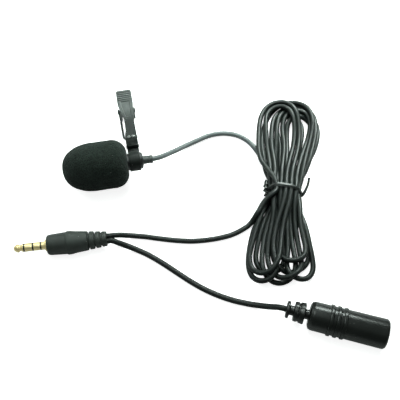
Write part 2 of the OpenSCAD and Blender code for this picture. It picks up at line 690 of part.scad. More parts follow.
module plug_grip() {
  bead_x = plug_length + grip_length;
  taper_x = bead_x + bead_width;
  relief_x = taper_x + taper_length;
  rib_r = [3.3, 3.05, 2.85];
  rib_step = relief_length / 3;
  ribs = [for (i = [0:2]) let (x = relief_x + i * rib_step) each [
    [rib_r[i] - 0.85, x], [rib_r[i] - 0.85, x + 0.8], [rib_r[i], x + 1.05],
    [rib_r[i] - 0.15, x + rib_step - 0.2], [rib_r[i] - 0.5, x + rib_step]]];
  color(black_rubber) at_plug() difference() {
    turned(concat([[0, plug_length], [grip_d / 2 - 1.5, plug_length],
      [grip_d / 2 - 0.8, plug_length + 0.3], [grip_d / 2 - 0.4, plug_length + 0.9],
      [grip_d / 2 - 0.3, plug_length + 1.6], [grip_d / 2, bead_x],
      [bead_d / 2 - 0.15, bead_x + 0.2],
      [bead_d / 2, bead_x + 0.6], [bead_d / 2, taper_x - 0.6],
      [bead_d / 2 - 0.3, taper_x - 0.1], [4.2, taper_x + 1.2], [3.8, relief_x - 1.4],
      [3.5, relief_x - 0.3], [3.2, relief_x]], ribs, [[0, plug_end]]));
    rod(sleeve_flange, plug_length - eps, plug_length + sleeve_root, round_fn);
    rod(plug_core_d, plug_length, plug_length + sleeve_root + 1, round_fn);
  }
}

// Socket, measured along its own axis from the cord end.
bushing_d = 8.0;
bushing_t = 1.4;
insert_d = 7.4;
insert_start = socket_end - socket_depth - 3.5;
barrel_contact_d = 5.4;
barrel_contact = 4.8;
hole_d = plug_d + 2 * socket_gap;
contact_gap = 0.12;
seat_gap = 0.02;
module socket_shell() {
  body = tail_length;
  neck = 2.0;
  rib_start = body + 9.0;
  rib_gap = 2.75;
  ribs = [for (i = [0:2]) let (x = rib_start + i * rib_gap) each [
    [socket_d / 2 - 0.25, x - 0.05], [rib_d / 2, x + 0.15], [rib_d / 2, x + rib_width],
    [socket_d / 2 - 0.25, x + rib_width + 0.2]]];
  color([0.09, 0.1, 0.1]) at_socket() difference() {
    union() {
      turned(concat([[0, 0], [2.6, 0], [3.2, 0.3], [3.2, 1.3], [neck, 1.5], [neck, 3.1],
        [3.9, 3.2], [3.95, 4.6], [3.2, 4.7], [3.2, 5.5], [4.1, 5.6], [4.15, 6.9],
        [neck, 7.1], [neck, body], [socket_d / 2 - 1.3, body],
        [socket_d / 2 - 0.3, body + 1.1],
        [socket_d / 2, body + 1.9], [socket_d / 2, rib_start - 0.4]], ribs,
        [[socket_d / 2, rib_start + 3 * rib_gap], [socket_d / 2, socket_end - 0.6],
        [socket_d / 2 - 0.5, socket_end], [0, socket_end]]));
      translate([3.2, -1.6, -3.5]) cube([3.6, 3.2, 7.0]);
    }
    rod(bushing_d, socket_end - bushing_t, socket_end + eps, round_fn);
    rod(insert_d, insert_start, socket_end, round_fn);
  }
}
module socket_bushing() {
  color(gold) at_socket() difference() {
    union() {
      rod(bushing_d, socket_end - bushing_t, socket_end, round_fn);
      rod(barrel_contact_d, socket_end - bushing_t - barrel_contact, socket_end, round_fn);
    }
    rod(hole_d, 0, socket_end + eps, round_fn);
  }
}
module contact_slot(turn, x0, x1) {
  rotate([turn, 0, 0]) translate([x0, -0.8, hole_d / 2 + contact_gap])
    cube([x1 - x0, 1.6, 0.9]);
}
module contact(turn, x0, x1) {
  rotate([turn, 0, 0]) translate([0, 0, hole_d / 2 + contact_gap]) side_spring(x0, x1);
}
// A flat spring leaf along X with a raised heel at its fixed end.
module side_spring(x0, x1) {
  rotate([90, 0, 0]) linear_extrude(height = 1.2, center = true)
    polygon([[x0 + 0.2, 0.05], [x1 - 0.2, 0.05], [x1 - 0.2, 0.35], [x0 + 1.4, 0.45],
      [x0 + 1.2, 0.9], [x0 + 0.2, 0.9]]);
}
tip_contact_x = socket_end - socket_depth + 0.8;
ring_contact_x = tip_contact_x + 4.2;
module socket_insert() {
  color([0.08, 0.08, 0.08]) at_socket() difference() {
    rod(insert_d, insert_start, socket_end - bushing_t, round_fn);
    rod(barrel_contact_d + 2 * seat_gap, socket_end - bushing_t - barrel_contact, socket_end,
      round_fn);
    rod(hole_d, socket_end - socket_depth, socket_end, round_fn);
    contact_slot(0, tip_contact_x, tip_contact_x + 4);
    contact_slot(120, ring_contact_x, ring_contact_x + 4);
    contact_slot(240, ring_contact_x, ring_contact_x + 4);
    for (turn = [0, 120, 240]) rotate([turn, 0, 0])
      translate([tip_contact_x + (turn > 0 ? 4.2 : 0) + 0.2, -0.6, 0])
        cube([3.6, 1.2, hole_d / 2 + contact_gap + 0.1]);
  }
}
module socket_tip_contact() {
  color(gold) at_socket() contact(0, tip_contact_x, tip_contact_x + 4);
}
module socket_ring_contact() {
  color(gold) at_socket() contact(120, ring_contact_x, ring_contact_x + 4);
}
module socket_mic_contact() {
  color(gold) at_socket() contact(240, ring_contact_x, ring_contact_x + 4);
}

mic_barrel();
front_grille();
dust_felt();
electret_capsule();
capsule_boot();
capsule_board();
signal_wire();
ground_wire();
cord_crimp();
rear_cap();
cord_collar();
foam_windscreen();
clip_frame();
holder_ring();
holder_rivet();
back_jaw_grip();
pivot_pin();
torsion_spring();
thumb_lever();
front_jaw_grip();
left_jaw_rivet();
right_jaw_rivet();
mic_cord();
cord_hank();
twist_tie();
tie_tail();
plug_cord();
split_cord();
plug_tip();
plug_ring_front();
plug_ring_rear();
plug_sleeve();
plug_insulation();
plug_grip();
socket_shell();
socket_bushing();
socket_insert();
socket_tip_contact();
socket_ring_contact();
socket_mic_contact();
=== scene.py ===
"""Dresses the clip-on microphone: windscreen, clip, tied cord, plug and socket."""

import logging
import math
from dataclasses import dataclass, field, replace
from enum import Enum
from typing import Any, Callable, Iterable, Iterator, Sequence

import bmesh
import bpy
import numpy as np
from mathutils import Matrix, Vector


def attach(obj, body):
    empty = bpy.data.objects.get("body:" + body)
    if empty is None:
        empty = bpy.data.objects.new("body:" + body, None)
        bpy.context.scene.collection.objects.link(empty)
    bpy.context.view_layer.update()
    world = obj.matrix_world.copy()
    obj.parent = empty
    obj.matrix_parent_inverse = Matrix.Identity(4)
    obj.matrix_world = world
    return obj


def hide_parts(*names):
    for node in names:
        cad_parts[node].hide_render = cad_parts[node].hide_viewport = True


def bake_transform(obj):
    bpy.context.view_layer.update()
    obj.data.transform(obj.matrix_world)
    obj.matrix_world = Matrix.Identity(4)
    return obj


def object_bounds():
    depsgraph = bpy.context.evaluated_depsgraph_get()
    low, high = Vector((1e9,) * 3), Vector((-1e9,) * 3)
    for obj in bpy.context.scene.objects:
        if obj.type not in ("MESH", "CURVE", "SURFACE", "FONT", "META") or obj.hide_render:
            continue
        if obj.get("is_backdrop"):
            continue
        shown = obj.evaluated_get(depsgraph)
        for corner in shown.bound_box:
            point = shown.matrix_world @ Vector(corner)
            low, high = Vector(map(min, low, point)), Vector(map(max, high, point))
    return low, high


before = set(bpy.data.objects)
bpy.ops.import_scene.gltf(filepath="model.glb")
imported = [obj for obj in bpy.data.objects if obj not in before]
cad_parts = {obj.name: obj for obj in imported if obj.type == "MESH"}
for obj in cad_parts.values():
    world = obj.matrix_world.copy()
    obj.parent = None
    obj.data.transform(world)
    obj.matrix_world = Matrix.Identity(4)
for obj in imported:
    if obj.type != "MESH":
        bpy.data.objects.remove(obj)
CAD_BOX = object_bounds()

LOG = logging.getLogger("microphone")
MM = 0.001
MERGE = 2e-7
SMOOTH_ANGLE = 38.0
FINE = 72
COARSE = 20

RGB = tuple[float, float, float]
Point = tuple[float, float, float]
Profile = list[tuple[float, float]]


class Body(str, Enum):
    """The bodies of the model that pieces ride on."""

    MICROPHONE = "microphone"
    WINDSCREEN = "windscreen"
    CLIP = "clip"
    LEVER = "lever"


def shifted(x: float, y: float, z: float) -> Matrix:
    """A shift, in millimetres."""
    return Matrix.Translation((x, y, z))


def turned(axis: str, degrees: float) -> Matrix:
    """A turn about one axis."""
    return Matrix.Rotation(math.radians(degrees), 4, axis)


# The places of the sub-assemblies, in millimetres, as in the part's source.
SEAT_Y = 6.65
AT_MIC = shifted(11.8, -13.6, 10.7)
AT_CLIP = AT_MIC @ turned("X", -6.7)
AT_JAWS = AT_CLIP @ shifted(0, SEAT_Y, 0) @ turned("Z", 2.2) @ shifted(0, -SEAT_Y, 0)
AT_PLUG = shifted(-43.4, -45.1, 5.0) @ turned("Z", -2)
AT_SOCKET = shifted(64.0, -89.2, 6.35) @ turned("Z", -24)
AT_HANK = shifted(75.4, -34.9, 0) @ turned("Z", -15.2)

# Where the two cords leave the plug's strain relief, in the plug's own frame.
RELIEF_END = 39.2
CORD_SPREAD = 1.15


def placed(place: Matrix, points: Iterable[Sequence[float]]) -> np.ndarray:
    """Points of a sub-assembly in the model's frame, in millimetres."""
    m = np.array(place)
    p = np.array(list(points), float)
    return p @ m[:3, :3].T + m[:3, 3]


# ---------------------------------------------------------------- node trees


class Graph:
    """Builds a node tree one node at a time."""

    def __init__(self, tree: bpy.types.NodeTree) -> None:
        """Keeps the tree and where its next node is drawn."""
        self.tree = tree
        self.count = 0

    def node(self, kind: str, sockets: dict | None = None, **settings: Any) -> Any:
        """Adds a node.

        Args:
            kind: The node's type.
            sockets: Values or links for its inputs, by name or index.
            settings: The node's own properties.

        Returns:
            The node.
        """
        made = self.tree.nodes.new(kind)
        made.location = (220 * (self.count % 9), -260 * (self.count // 9))
        self.count += 1
        for key, value in settings.items():
            setattr(made, key, value)
        for key, value in (sockets or {}).items():
            if isinstance(value, bpy.types.NodeSocket):
                self.tree.links.new(value, made.inputs[key])
            else:
                made.inputs[key].default_value = value
        return made

    def math(self, operation: str, a: Any, b: Any = 0.0, c: Any = 0.0) -> Any:
        """Adds a Math node and gives its output."""
        return self.node("ShaderNodeMath", {0: a, 1: b, 2: c}, operation=operation).outputs[0]

    def ramp(self, value: Any, low: float, high: float, out: tuple[float, float] = (0, 1)) -> Any:
        """Maps a value from low..high to out, held at both ends."""
        sockets = {"Value": value, "From Min": low, "From Max": high}
        sockets |= {"To Min": out[0], "To Max": out[1]}
        return self.node("ShaderNodeMapRange", sockets, clamp=True).outputs["Result"]

    def blend(self, share: Any, a: Any, b: Any) -> Any:
        """Mixes two colours and gives the result."""
        a, b = (v if isinstance(v, bpy.types.NodeSocket) else (*v, 1.0) for v in (a, b))
        return self.node("ShaderNodeMix", {0: share, 6: a, 7: b}, data_type="RGBA").outputs[2]

    def link(self, source: Any, target: Any) -> None:
        """Joins an output to an input."""
        self.tree.links.new(source, target)

    def place(self) -> Any:
        """The shaded point in the piece's own frame."""
        return self.node("ShaderNodeTexCoord").outputs["Object"]

    def noise(self, where: Any, scale: Any, detail: float, roughness: float = 0.5) -> Any:
        """Adds a Noise Texture and gives its value."""
        sockets = {"Vector": where, "Scale": scale, "Detail": detail, "Roughness": roughness}
        return self.node("ShaderNodeTexNoise", sockets).outputs["Fac"]

    def bump(self, shader: Any, height: Any, distance: float, strength: float) -> None:
        """Raises a shader's surface by a height."""
        sockets = {"Height": height, "Distance": distance, "Strength": strength}
        self.link(self.node("ShaderNodeBump", sockets).outputs[0], shader.inputs["Normal"])

    @staticmethod
    def source(shader: Any, name: str) -> Any:
        """What feeds one of a shader's inputs."""
        return shader.inputs[name].links[0].from_socket


def new_group(name: str, inputs: dict[str, float], outputs: Sequence[str]) -> tuple[Any, Graph]:
    """Starts a shader node group whose sockets are all numbers.

    Args:
        name: The group's name.
        inputs: Each input's name and usual value.
        outputs: The outputs' names.

    Returns:
        The group and the graph that fills it.
    """
    tree = bpy.data.node_groups.new(name, "ShaderNodeTree")
    for label, value in inputs.items():
        socket = tree.interface.new_socket(label, in_out="INPUT", socket_type="NodeSocketFloat")
        socket.default_value = value
    for label in outputs:
        tree.interface.new_socket(label, in_out="OUTPUT", socket_type="NodeSocketFloat")
    return tree, Graph(tree)


class Effects:
    """The surface effects that more than one finish uses, each built once."""

    def __init__(self) -> None:
        """Builds the groups."""
        self.mottle = self._mottle()
        self.grain = self._grain()
        self.wear = self._wear()
        self.lint = self._lint()

    @staticmethod
    def _mottle() -> Any:
        """Slow variation over a surface, such as handling marks."""
        tree, g = new_group("slow mottle", {"Scale": 120.0, "Contrast": 1.0}, ["Mask"])
        inp = g.node("NodeGroupInput").outputs
        away = g.math("SUBTRACT", g.noise(g.place(), inp["Scale"], 4.0, 0.6), 0.5)
        spread = g.math("MULTIPLY_ADD", away, inp["Contrast"], 0.5)
        g.node("NodeGroupOutput", {"Mask": g.ramp(spread, 0.25, 0.75)})
        return tree

    @staticmethod
    def _grain() -> Any:
        """Fine texture of a moulded, blasted or painted skin."""
        tree, g = new_group("fine grain", {"Scale": 3000.0, "Pits": 0.3}, ["Height"])
        inp = g.node("NodeGroupInput").outputs
        where = g.place()
        fine = g.noise(where, inp["Scale"], 3.0, 0.65)
        cells = {"Vector": where, "Scale": g.math("MULTIPLY", inp["Scale"], 0.45)}
        pits = g.ramp(g.node("ShaderNodeTexVoronoi", cells).outputs["Distance"], 0.0, 0.3)
        share = g.math("MULTIPLY", g.math("SUBTRACT", pits, 1.0), inp["Pits"])
        g.node("NodeGroupOutput", {"Height": g.math("ADD", fine, share)})
        return tree

    @staticmethod
    def _wear() -> Any:
        """Where the edges are rubbed, broken up by noise."""
        names = {"Width": 0.00015, "Amount": 0.5, "Scale": 900.0}
        tree, g = new_group("edge rub", names, ["Mask"])
        inp = g.node("NodeGroupInput").outputs
        soft = g.node("ShaderNodeBevel", {"Radius": inp["Width"]}, samples=4)
        hard = g.node("ShaderNodeNewGeometry").outputs["Normal"]
        pair = {0: soft.outputs[0], 1: hard}
        same = g.node("ShaderNodeVectorMath", pair, operation="DOT_PRODUCT").outputs["Value"]
        edge = g.ramp(same, 0.985, 0.9)
        torn = g.ramp(g.noise(g.place(), inp["Scale"], 3.0), 0.42, 0.62)
        rubbed = g.math("MULTIPLY", edge, torn)
        g.node("NodeGroupOutput", {"Mask": g.math("MULTIPLY", rubbed, inp["Amount"])})
        return tree

    @staticmethod
    def _lint() -> Any:
        """Sparse specks of dust."""
        tree, g = new_group("lint", {"Scale": 700.0, "Amount": 0.5}, ["Mask"])
        inp = g.node("NodeGroupInput").outputs
        cells = {"Vector": g.place(), "Scale": inp["Scale"], "Randomness": 1.0}
        dots = g.node("ShaderNodeTexVoronoi", cells)
        speck = g.ramp(dots.outputs["Distance"], 0.16, 0.06)
        pick = g.node("ShaderNodeSeparateColor", {0: dots.outputs["Color"]}).outputs[0]
        some = g.ramp(pick, 0.80, 0.86)
        both = g.math("MULTIPLY", speck, some)
        g.node("NodeGroupOutput", {"Mask": g.math("MULTIPLY", both, inp["Amount"])})
        return tree


EFFECTS = Effects()


def effect(g: Graph, tree: Any, **values: float) -> Any:
    """Places a shared effect in a material and gives its first output."""
    made = g.node("ShaderNodeGroup", node_tree=tree)
    for key, value in values.items():
        made.inputs[key.replace("_", " ").capitalize()].default_value = value
    return made.outputs[0]


# ------------------------------------------------------------------ finishes


@dataclass(frozen=True)
class Finish:
    """A moulded, painted or bare surface.

    Colours are linear. Scales are per metre and depths in metres.
    """

    name: str
    slot: str
    colour: RGB
    tint: RGB
    roughness: float
    roughness_spread: float = 0.10
    metallic: float = 0.0
    specular: float = 0.5
    mottle_scale: float = 120.0
    mottle_contrast: float = 1.4
    grain_scale: float = 3500.0
    grain_depth: float = 0.00004
    grain_strength: float = 0.3
    pits: float = 0.3
    rub_colour: RGB = (0.2, 0.2, 0.2)
    rub_amount: float = 0.0
    rub_width: float = 0.00015
    rub_scale: float = 900.0
    rub_roughness: float = 0.3
    lint_amount: float = 0.0
    lint_scale: float = 650.0
    lint_colour: RGB = (0.30, 0.30, 0.29)
    coat: float = 0.0
    coat_roughness: float = 0.1
    sheen: float = 0.0
    sheen_roughness: float = 0.5
    glow: float = 0.0

    def build(self) -> bpy.types.Material:
        """Builds the material, once for each finish."""
        if self.name in bpy.data.materials:
            return bpy.data.materials[self.name]
        made = bpy.data.materials.new(self.name)
        made.use_nodes = True
        made.node_tree.nodes.clear()
        g = Graph(made.node_tree)
        shader = g.node("ShaderNodeBsdfPrincipled")
        g.node("ShaderNodeOutputMaterial", {"Surface": shader.outputs[0]})
        self.dress(g, shader)
        made.diffuse_color = (*self.colour, 1.0)
        return made

    def dress(self, g: Graph, shader: Any) -> None:
        """Sets the shader's constants and links what varies."""
        for key, value in (
            ("Metallic", self.metallic),
            ("Specular IOR Level", self.specular),
            ("Coat Weight", self.coat),
            ("Coat Roughness", self.coat_roughness),
            ("Sheen Weight", self.sheen),
            ("Sheen Roughness", self.sheen_roughness),
        ):
            shader.inputs[key].default_value = value
        marks = effect(
            g, EFFECTS.mottle, scale=self.mottle_scale, contrast=self.mottle_contrast)
        colour = g.blend(marks, self.colour, self.tint)
        spread = self.roughness_spread
        rough = g.ramp(marks, 0, 1, (self.roughness - spread / 2, self.roughness + spread / 2))
        if self.rub_amount:
            rubbed = effect(
                g, EFFECTS.wear, width=self.rub_width, amount=self.rub_amount,
                scale=self.rub_scale)
            colour = g.blend(rubbed, colour, self.rub_colour)
            drop = g.math("SUBTRACT", self.rub_roughness, rough)
            rough = g.math("MULTIPLY_ADD", drop, rubbed, rough)
        if self.lint_amount:
            dust = effect(g, EFFECTS.lint, scale=self.lint_scale, amount=self.lint_amount)
            colour = g.blend(dust, colour, self.lint_colour)
        g.link(colour, shader.inputs["Base Color"])
        g.link(rough, shader.inputs["Roughness"])
        height = effect(g, EFFECTS.grain, scale=self.grain_scale, pits=self.pits)
        g.bump(shader, height, self.grain_depth, self.grain_strength)
        if self.glow:
            seen = g.node("ShaderNodeLightPath").outputs["Is Camera Ray"]
            g.link(g.math("MULTIPLY", seen, self.glow), shader.inputs["Emission Strength"])


@dataclass(frozen=True)
class CordFinish(Finish):
    """Extruded jacket: its streaks run along the cord, by the piece's own UV map.

    The painted light is a paler stretch, standing in for lamp light on the cord, that fades
    between its start and its end, in metres along the cord. There is none where the end is 0.
    """

    streak: RGB = (0.020, 0.0255, 0.0238)
    streak_scale: Point = (9.0, 40.0, 1.0)
    streak_share: float = 0.6
    # painted light: the paler colour where the lamps fall on the cord near the microphone
    painted_light: RGB = (0.100, 0.114, 0.114)
    painted_light_start: float = 0.0
    painted_light_end: float = 0.0

    def dress(self, g: Graph, shader: Any) -> None:
        """Adds the streaks and the painted light to the plain finish."""
        super().dress(g, shader)
        uv = g.node("ShaderNodeUVMap", uv_map="along").outputs[0]
        across = g.node("ShaderNodeMapping", {"Vector": uv, "Scale": self.streak_scale})
        streaks = g.ramp(g.noise(across.outputs[0], 1.0, 4.0, 0.7), 0.45, 0.75)
        share = g.math("MULTIPLY", streaks, self.streak_share)
        colour = g.blend(share, g.source(shader, "Base Color"), self.streak)
        # painted light: paler from the cord's start, fading out between start and end
        if self.painted_light_end:
            along = g.node("ShaderNodeSeparateXYZ", {"Vector": uv}).outputs["Y"]
            painted_light_share = g.ramp(along, self.painted_light_start, self.painted_light_end, (1.0, 0.0))
            colour = g.blend(painted_light_share, colour, self.painted_light)
        g.link(colour, shader.inputs["Base Color"])


@dataclass(frozen=True)
class FoamFinish(Finish):
    """Open-cell foam: dark pits between paler struts, the pits' darkness painted shade."""

    pore_scale: float = 2100.0
    fine_scale: float = 5200.0
    # The painted shade in the pores.
    pore_shade: RGB = (0.003, 0.0035, 0.0034)
    pit_depth: float = 0.00012
    pit_strength: float = 0.8

    def dress(self, g: Graph, shader: Any) -> None:
        """Darkens the cells with painted shade and raises their struts."""
        super().dress(g, shader)
        where = g.place()
        cells = {"Vector": where, "Scale": self.pore_scale, "Randomness": 1.0}
        pores = g.node("ShaderNodeTexVoronoi", cells).outputs["Distance"]
        strut = g.ramp(pores, 0.12, 0.62)
        colour = g.blend(strut, self.pore_shade, g.source(shader, "Base Color"))
        g.link(colour, shader.inputs["Base Color"])
        height = g.math("MULTIPLY_ADD", g.noise(where, self.fine_scale, 2.0), 0.5, strut)
        g.bump(shader, height, self.pit_depth, self.pit_strength)


@dataclass(frozen=True)
class PlatedFinish(Finish):
    """Turned and plated metal: fine rings across X."""

    ring_scale: float = 9000.0
    ring_share: float = 0.12
    ring_depth: float = 0.00001
    ring_strength: float = 0.25

    def dress(self, g: Graph, shader: Any) -> None:
        """Adds the tool's fine rings to the roughness and the bump."""
        super().dress(g, shader)
        along = g.node("ShaderNodeSeparateXYZ", {0: g.place()}).outputs[0]
        wave = g.math("SINE", g.math("MULTIPLY", along, self.ring_scale))
        noise = {"W": g.math("MULTIPLY", along, self.ring_scale * 0.7)}
        lines = g.node("ShaderNodeTexNoise", noise, noise_dimensions="1D").outputs["Fac"]
        base = g.math("SUBTRACT", g.source(shader, "Roughness"), 0.05)
        rough = g.math("MULTIPLY_ADD", lines, self.ring_share, base)
        g.link(rough, shader.inputs["Roughness"])
        height = g.math("MULTIPLY_ADD", wave, self.ring_share, lines)
        g.bump(shader, height, self.ring_depth, self.ring_strength)


@dataclass(frozen=True)
class PaintedHighlightFinish(Finish):
    """An enamelled lever whose far end is paler, a painted highlight for the light on its pad."""

    # The pale colour of the painted highlight.
    painted_highlight: RGB = (0.078, 0.085, 0.082)
    patch_scale: float = 420.0
    start: float = 0.0085
    end: float = 0.0145

    def dress(self, g: Graph, shader: Any) -> None:
        """Pales the paint towards the far end, unevenly, as a painted highlight."""
        super().dress(g, shader)
        where = g.place()
        along = g.node("ShaderNodeSeparateXYZ", {0: where}).outputs[1]
        cloud = g.ramp(g.noise(where, self.patch_scale, 3.0, 0.6), 0.3, 0.7, (0.75, 1.0))
        share = g.math("MULTIPLY", g.ramp(along, self.start, self.end), cloud)
        colour = g.blend(share, g.source(shader, "Base Color"), self.painted_highlight)
        g.link(colour, shader.inputs["Base Color"])


# The lever's enamel: rubbed at its edges, and paler towards its pad by a painted highlight.
LEVER_PAINT = PaintedHighlightFinish(
    "scuffed enamel with painted highlight", "black_enamel", (0.006, 0.0085, 0.0075), (0.012, 0.0150, 0.0135), 0.44,
    specular=0.2, rub_colour=(0.16, 0.17, 0.165), rub_amount=0.4, rub_width=0.00012,
    grain_strength=0.12, grain_depth=0.00003, lint_amount=0.25)
ENAMEL = Finish(
    "black enamel", "black_enamel", (0.010, 0.0135, 0.012), (0.018, 0.0225, 0.0205), 0.36,
    rub_colour=(0.16, 0.17, 0.165), rub_amount=0.4, rub_width=0.00012, grain_strength=0.10,
    grain_depth=0.00003, coat=0.2, coat_roughness=0.28, lint_amount=0.25)
ANODISED = Finish(
    "black anodised metal", "black_anodised", (0.012, 0.013, 0.013), (0.020, 0.021, 0.022), 0.34,
    metallic=0.25, rub_colour=(0.35, 0.35, 0.36), rub_amount=0.4, grain_strength=0.18,
    lint_amount=0.15)
FOAM = FoamFinish(
    "open-cell foam", "foam", (0.0116, 0.0178, 0.0140), (0.0220, 0.0305, 0.0258), 1.0,
    specular=0.08, sheen=0.05, sheen_roughness=0.6, mottle_scale=260.0, lint_amount=0.30)
FELT = Finish(
    "dust felt", "felt", (0.012, 0.012, 0.012), (0.022, 0.022, 0.022), 0.95, specular=0.1,
    grain_scale=6000.0, grain_strength=0.9, sheen=0.4)
CAN = Finish(
    "drawn aluminium can", "capsule_can", (0.72, 0.73, 0.74), (0.62, 0.63, 0.65), 0.24,
    metallic=1.0, grain_strength=0.1)
BOOT = Finish(
    "rubber boot", "boot_rubber", (0.018, 0.018, 0.018), (0.03, 0.03, 0.03), 0.65,
    grain_strength=0.4)
BOARD = Finish(
    "circuit board", "board", (0.03, 0.16, 0.07), (0.05, 0.21, 0.10), 0.4, coat=0.3)
RED_WIRE = Finish("red wire", "wire_red", (0.42, 0.02, 0.016), (0.5, 0.035, 0.03), 0.4)
WHITE_WIRE = Finish("white wire", "wire_white", (0.7, 0.7, 0.66), (0.78, 0.78, 0.74), 0.4)
STEEL = Finish(
    "nickelled steel", "steel", (0.50, 0.51, 0.52), (0.58, 0.59, 0.60), 0.26, metallic=1.0,
    grain_strength=0.12, rub_colour=(0.75, 0.75, 0.76), rub_amount=0.5)
LACQUER = Finish(
    "satin lacquer", "black_enamel", (0.005, 0.007, 0.006), (0.010, 0.0125, 0.011), 0.5,
    specular=0.16, rub_colour=(0.12, 0.125, 0.12), rub_amount=0.4, rub_width=0.00015,
    grain_strength=0.15, lint_amount=0.3)
RIVET = Finish(
    "blackened rivet", "steel", (0.11, 0.115, 0.112), (0.16, 0.165, 0.162), 0.3, metallic=1.0,
    grain_strength=0.12, rub_colour=(0.6, 0.6, 0.6), rub_amount=0.5, rub_width=0.0002)
COLLAR = Finish(
    "grey collar", "moulding", (0.040, 0.047, 0.0445), (0.055, 0.063, 0.061), 0.46,
    specular=0.45, lint_amount=0.3)
SPRING = Finish(
    "spring wire", "spring_steel", (0.55, 0.56, 0.58), (0.64, 0.65, 0.67), 0.2, metallic=1.0,
    grain_strength=0.1)
GRIP = Finish(
    "jaw rubber", "grip_rubber", (0.0045, 0.0062, 0.0052), (0.009, 0.0112, 0.0100), 0.65,
    specular=0.08, rub_colour=(0.045, 0.045, 0.045), rub_amount=0.5, lint_amount=0.5,
    grain_strength=0.4)
JACKET = CordFinish(
    "cord jacket", "cord_jacket", (0.0042, 0.0060, 0.0052), (0.0082, 0.0106, 0.0096), 0.44,
    roughness_spread=0.14, mottle_scale=45.0, grain_scale=4200.0, grain_strength=0.25,
    lint_amount=0.3, specular=0.28)
# The main cord's jacket, with painted light on its first stretch from the microphone.
JACKET_WITH_PAINTED_LIGHT = replace(JACKET, name="jacket with painted light", painted_light_start=0.045, painted_light_end=0.100)
TIE = Finish(
    "tie film", "tie_film", (0.005, 0.0062, 0.0055), (0.010, 0.0118, 0.0108), 0.38,
    specular=0.35, coat=0.1, coat_roughness=0.25, rub_colour=(0.10, 0.10, 0.10), rub_amount=0.4)
GOLD = PlatedFinish(
    "gold plate", "gold_plate", (1.0, 0.82, 0.47), (1.0, 0.79, 0.40), 0.36, metallic=0.62,
    roughness_spread=0.08, grain_strength=0.06, rub_colour=(1.0, 0.86, 0.56), rub_amount=0.4)
BAND = Finish(
    "insulating band", "insulator", (0.008, 0.008, 0.008), (0.014, 0.014, 0.014), 0.32,
    grain_strength=0.2)
MOULDING = Finish(
    "soft moulding", "moulding", (0.0280, 0.0330, 0.0296), (0.0420, 0.0485, 0.0440), 0.52,
    specular=0.3, rub_colour=(0.06, 0.062, 0.06), rub_amount=0.45, rub_width=0.0002,
    lint_amount=0.4, grain_scale=2600.0, grain_strength=0.35, grain_depth=0.00005)
GLOSS = Finish(
    "glossy moulding", "socket_gloss", (0.0036, 0.0046, 0.0038), (0.007, 0.0084, 0.0072), 0.34,
    roughness_spread=0.06, specular=0.42, coat=0.15, coat_roughness=0.2,
    rub_colour=(0.05, 0.05, 0.05), rub_amount=0.4, rub_width=0.0002, lint_amount=0.35,
    grain_strength=0.12, mottle_scale=90.0)
TABLE = Finish(
    "pale table", "", (0.62, 0.62, 0.62), (0.63, 0.63, 0.63), 0.8, grain_scale=900.0,
    grain_strength=0.02, specular=0.1, mottle_scale=6.0, glow=0.86)

# -------------------------------------------------------------------- shapes


@dataclass
class Shape:
    """Points and faces in a sub-assembly's own frame, in millimetres."""

    points: np.ndarray
    faces: list[tuple[int, ...]]
    uv: np.ndarray | None = None

    @staticmethod
    def joined(shapes: Sequence["Shape"]) -> "Shape":
        """Several shapes as one."""
        points, faces, start = [], [], 0
        for s in shapes:
            points.append(s.points)
            faces += [tuple(i + start for i in f) for f in s.faces]
            start += len(s.points)
        return Shape(np.vstack(points), faces)

    def moved(self, place: Matrix) -> "Shape":
        """The shape moved within its frame."""
        return Shape(placed(place, self.points), self.faces, self.uv)

    def mesh(self, name: str, place: Matrix) -> bpy.types.Mesh:
        """Makes the mesh in metres, with its place in it.

        Args:
            name: The mesh's name.
            place: The sub-assembly's place, in millimetres.

        Returns:
            The mesh, closed, with faces outwards.
        """
        made = bpy.data.meshes.new(name)
        made.from_pydata((placed(place, self.points) * MM).tolist(), [], self.faces)
        if self.uv is not None:
            layer = made.uv_layers.new(name="along")
            layer.data.foreach_set("uv", self.uv.reshape(-1).astype(np.float32))
        close(made)
        return made


def close(mesh: bpy.types.Mesh) -> None:
    """Merges doubles and turns the faces outwards."""
    work = bmesh.new()
    work.from_mesh(mesh)
    bmesh.ops.remove_doubles(work, verts=work.verts, dist=MERGE)
    bmesh.ops.recalc_face_normals(work, faces=work.faces)
    work.to_mesh(mesh)
    work.free()


def smooth(mesh: bpy.types.Mesh, angle: float = SMOOTH_ANGLE) -> None:
    """Shades a mesh smooth, apart from edges sharper than the angle."""
    mesh.shade_smooth()
    mesh.set_sharp_from_angle(angle=math.radians(angle))


def rounded(profile: Profile, radius: float, steps: int = 4) -> Profile:
    """Rounds the corners of an open line.

    Args:
        profile: The line's points.
        radius: How far from each corner its arc starts, at most.
        steps: Segments in each arc.

    Returns:
        The line with an arc at each inner corner.
    """
    line = [np.array(p, float) for p in profile]
    made = [line[0]]
    for before, corner, after in zip(line, line[1:], line[2:]):
        a, b = before - corner, after - corner
        la, lb = np.linalg.norm(a), np.linalg.norm(b)
        reach = min(radius, 0.45 * la, 0.45 * lb)
        if reach < 1e-4:
            made.append(corner)
            continue
        p, q = corner + a / la * reach, corner + b / lb * reach
        for i in range(steps + 1):
            t = i / steps
            made.append((1 - t) ** 2 * p + 2 * t * (1 - t) * corner + t * t * q)
    made.append(line[-1])
    return [tuple(p) for p in made]


def closed_line(corners: Profile, radius: float) -> Profile:
    """A closed line with its corners rounded."""
    return rounded([corners[-1], *corners, corners[0]], radius)[1:-1]


def distances(line: np.ndarray) -> np.ndarray:
    """How far along a line each of its points lies."""
    return np.r_[0, np.cumsum(np.linalg.norm(np.diff(line, axis=0), axis=1))]


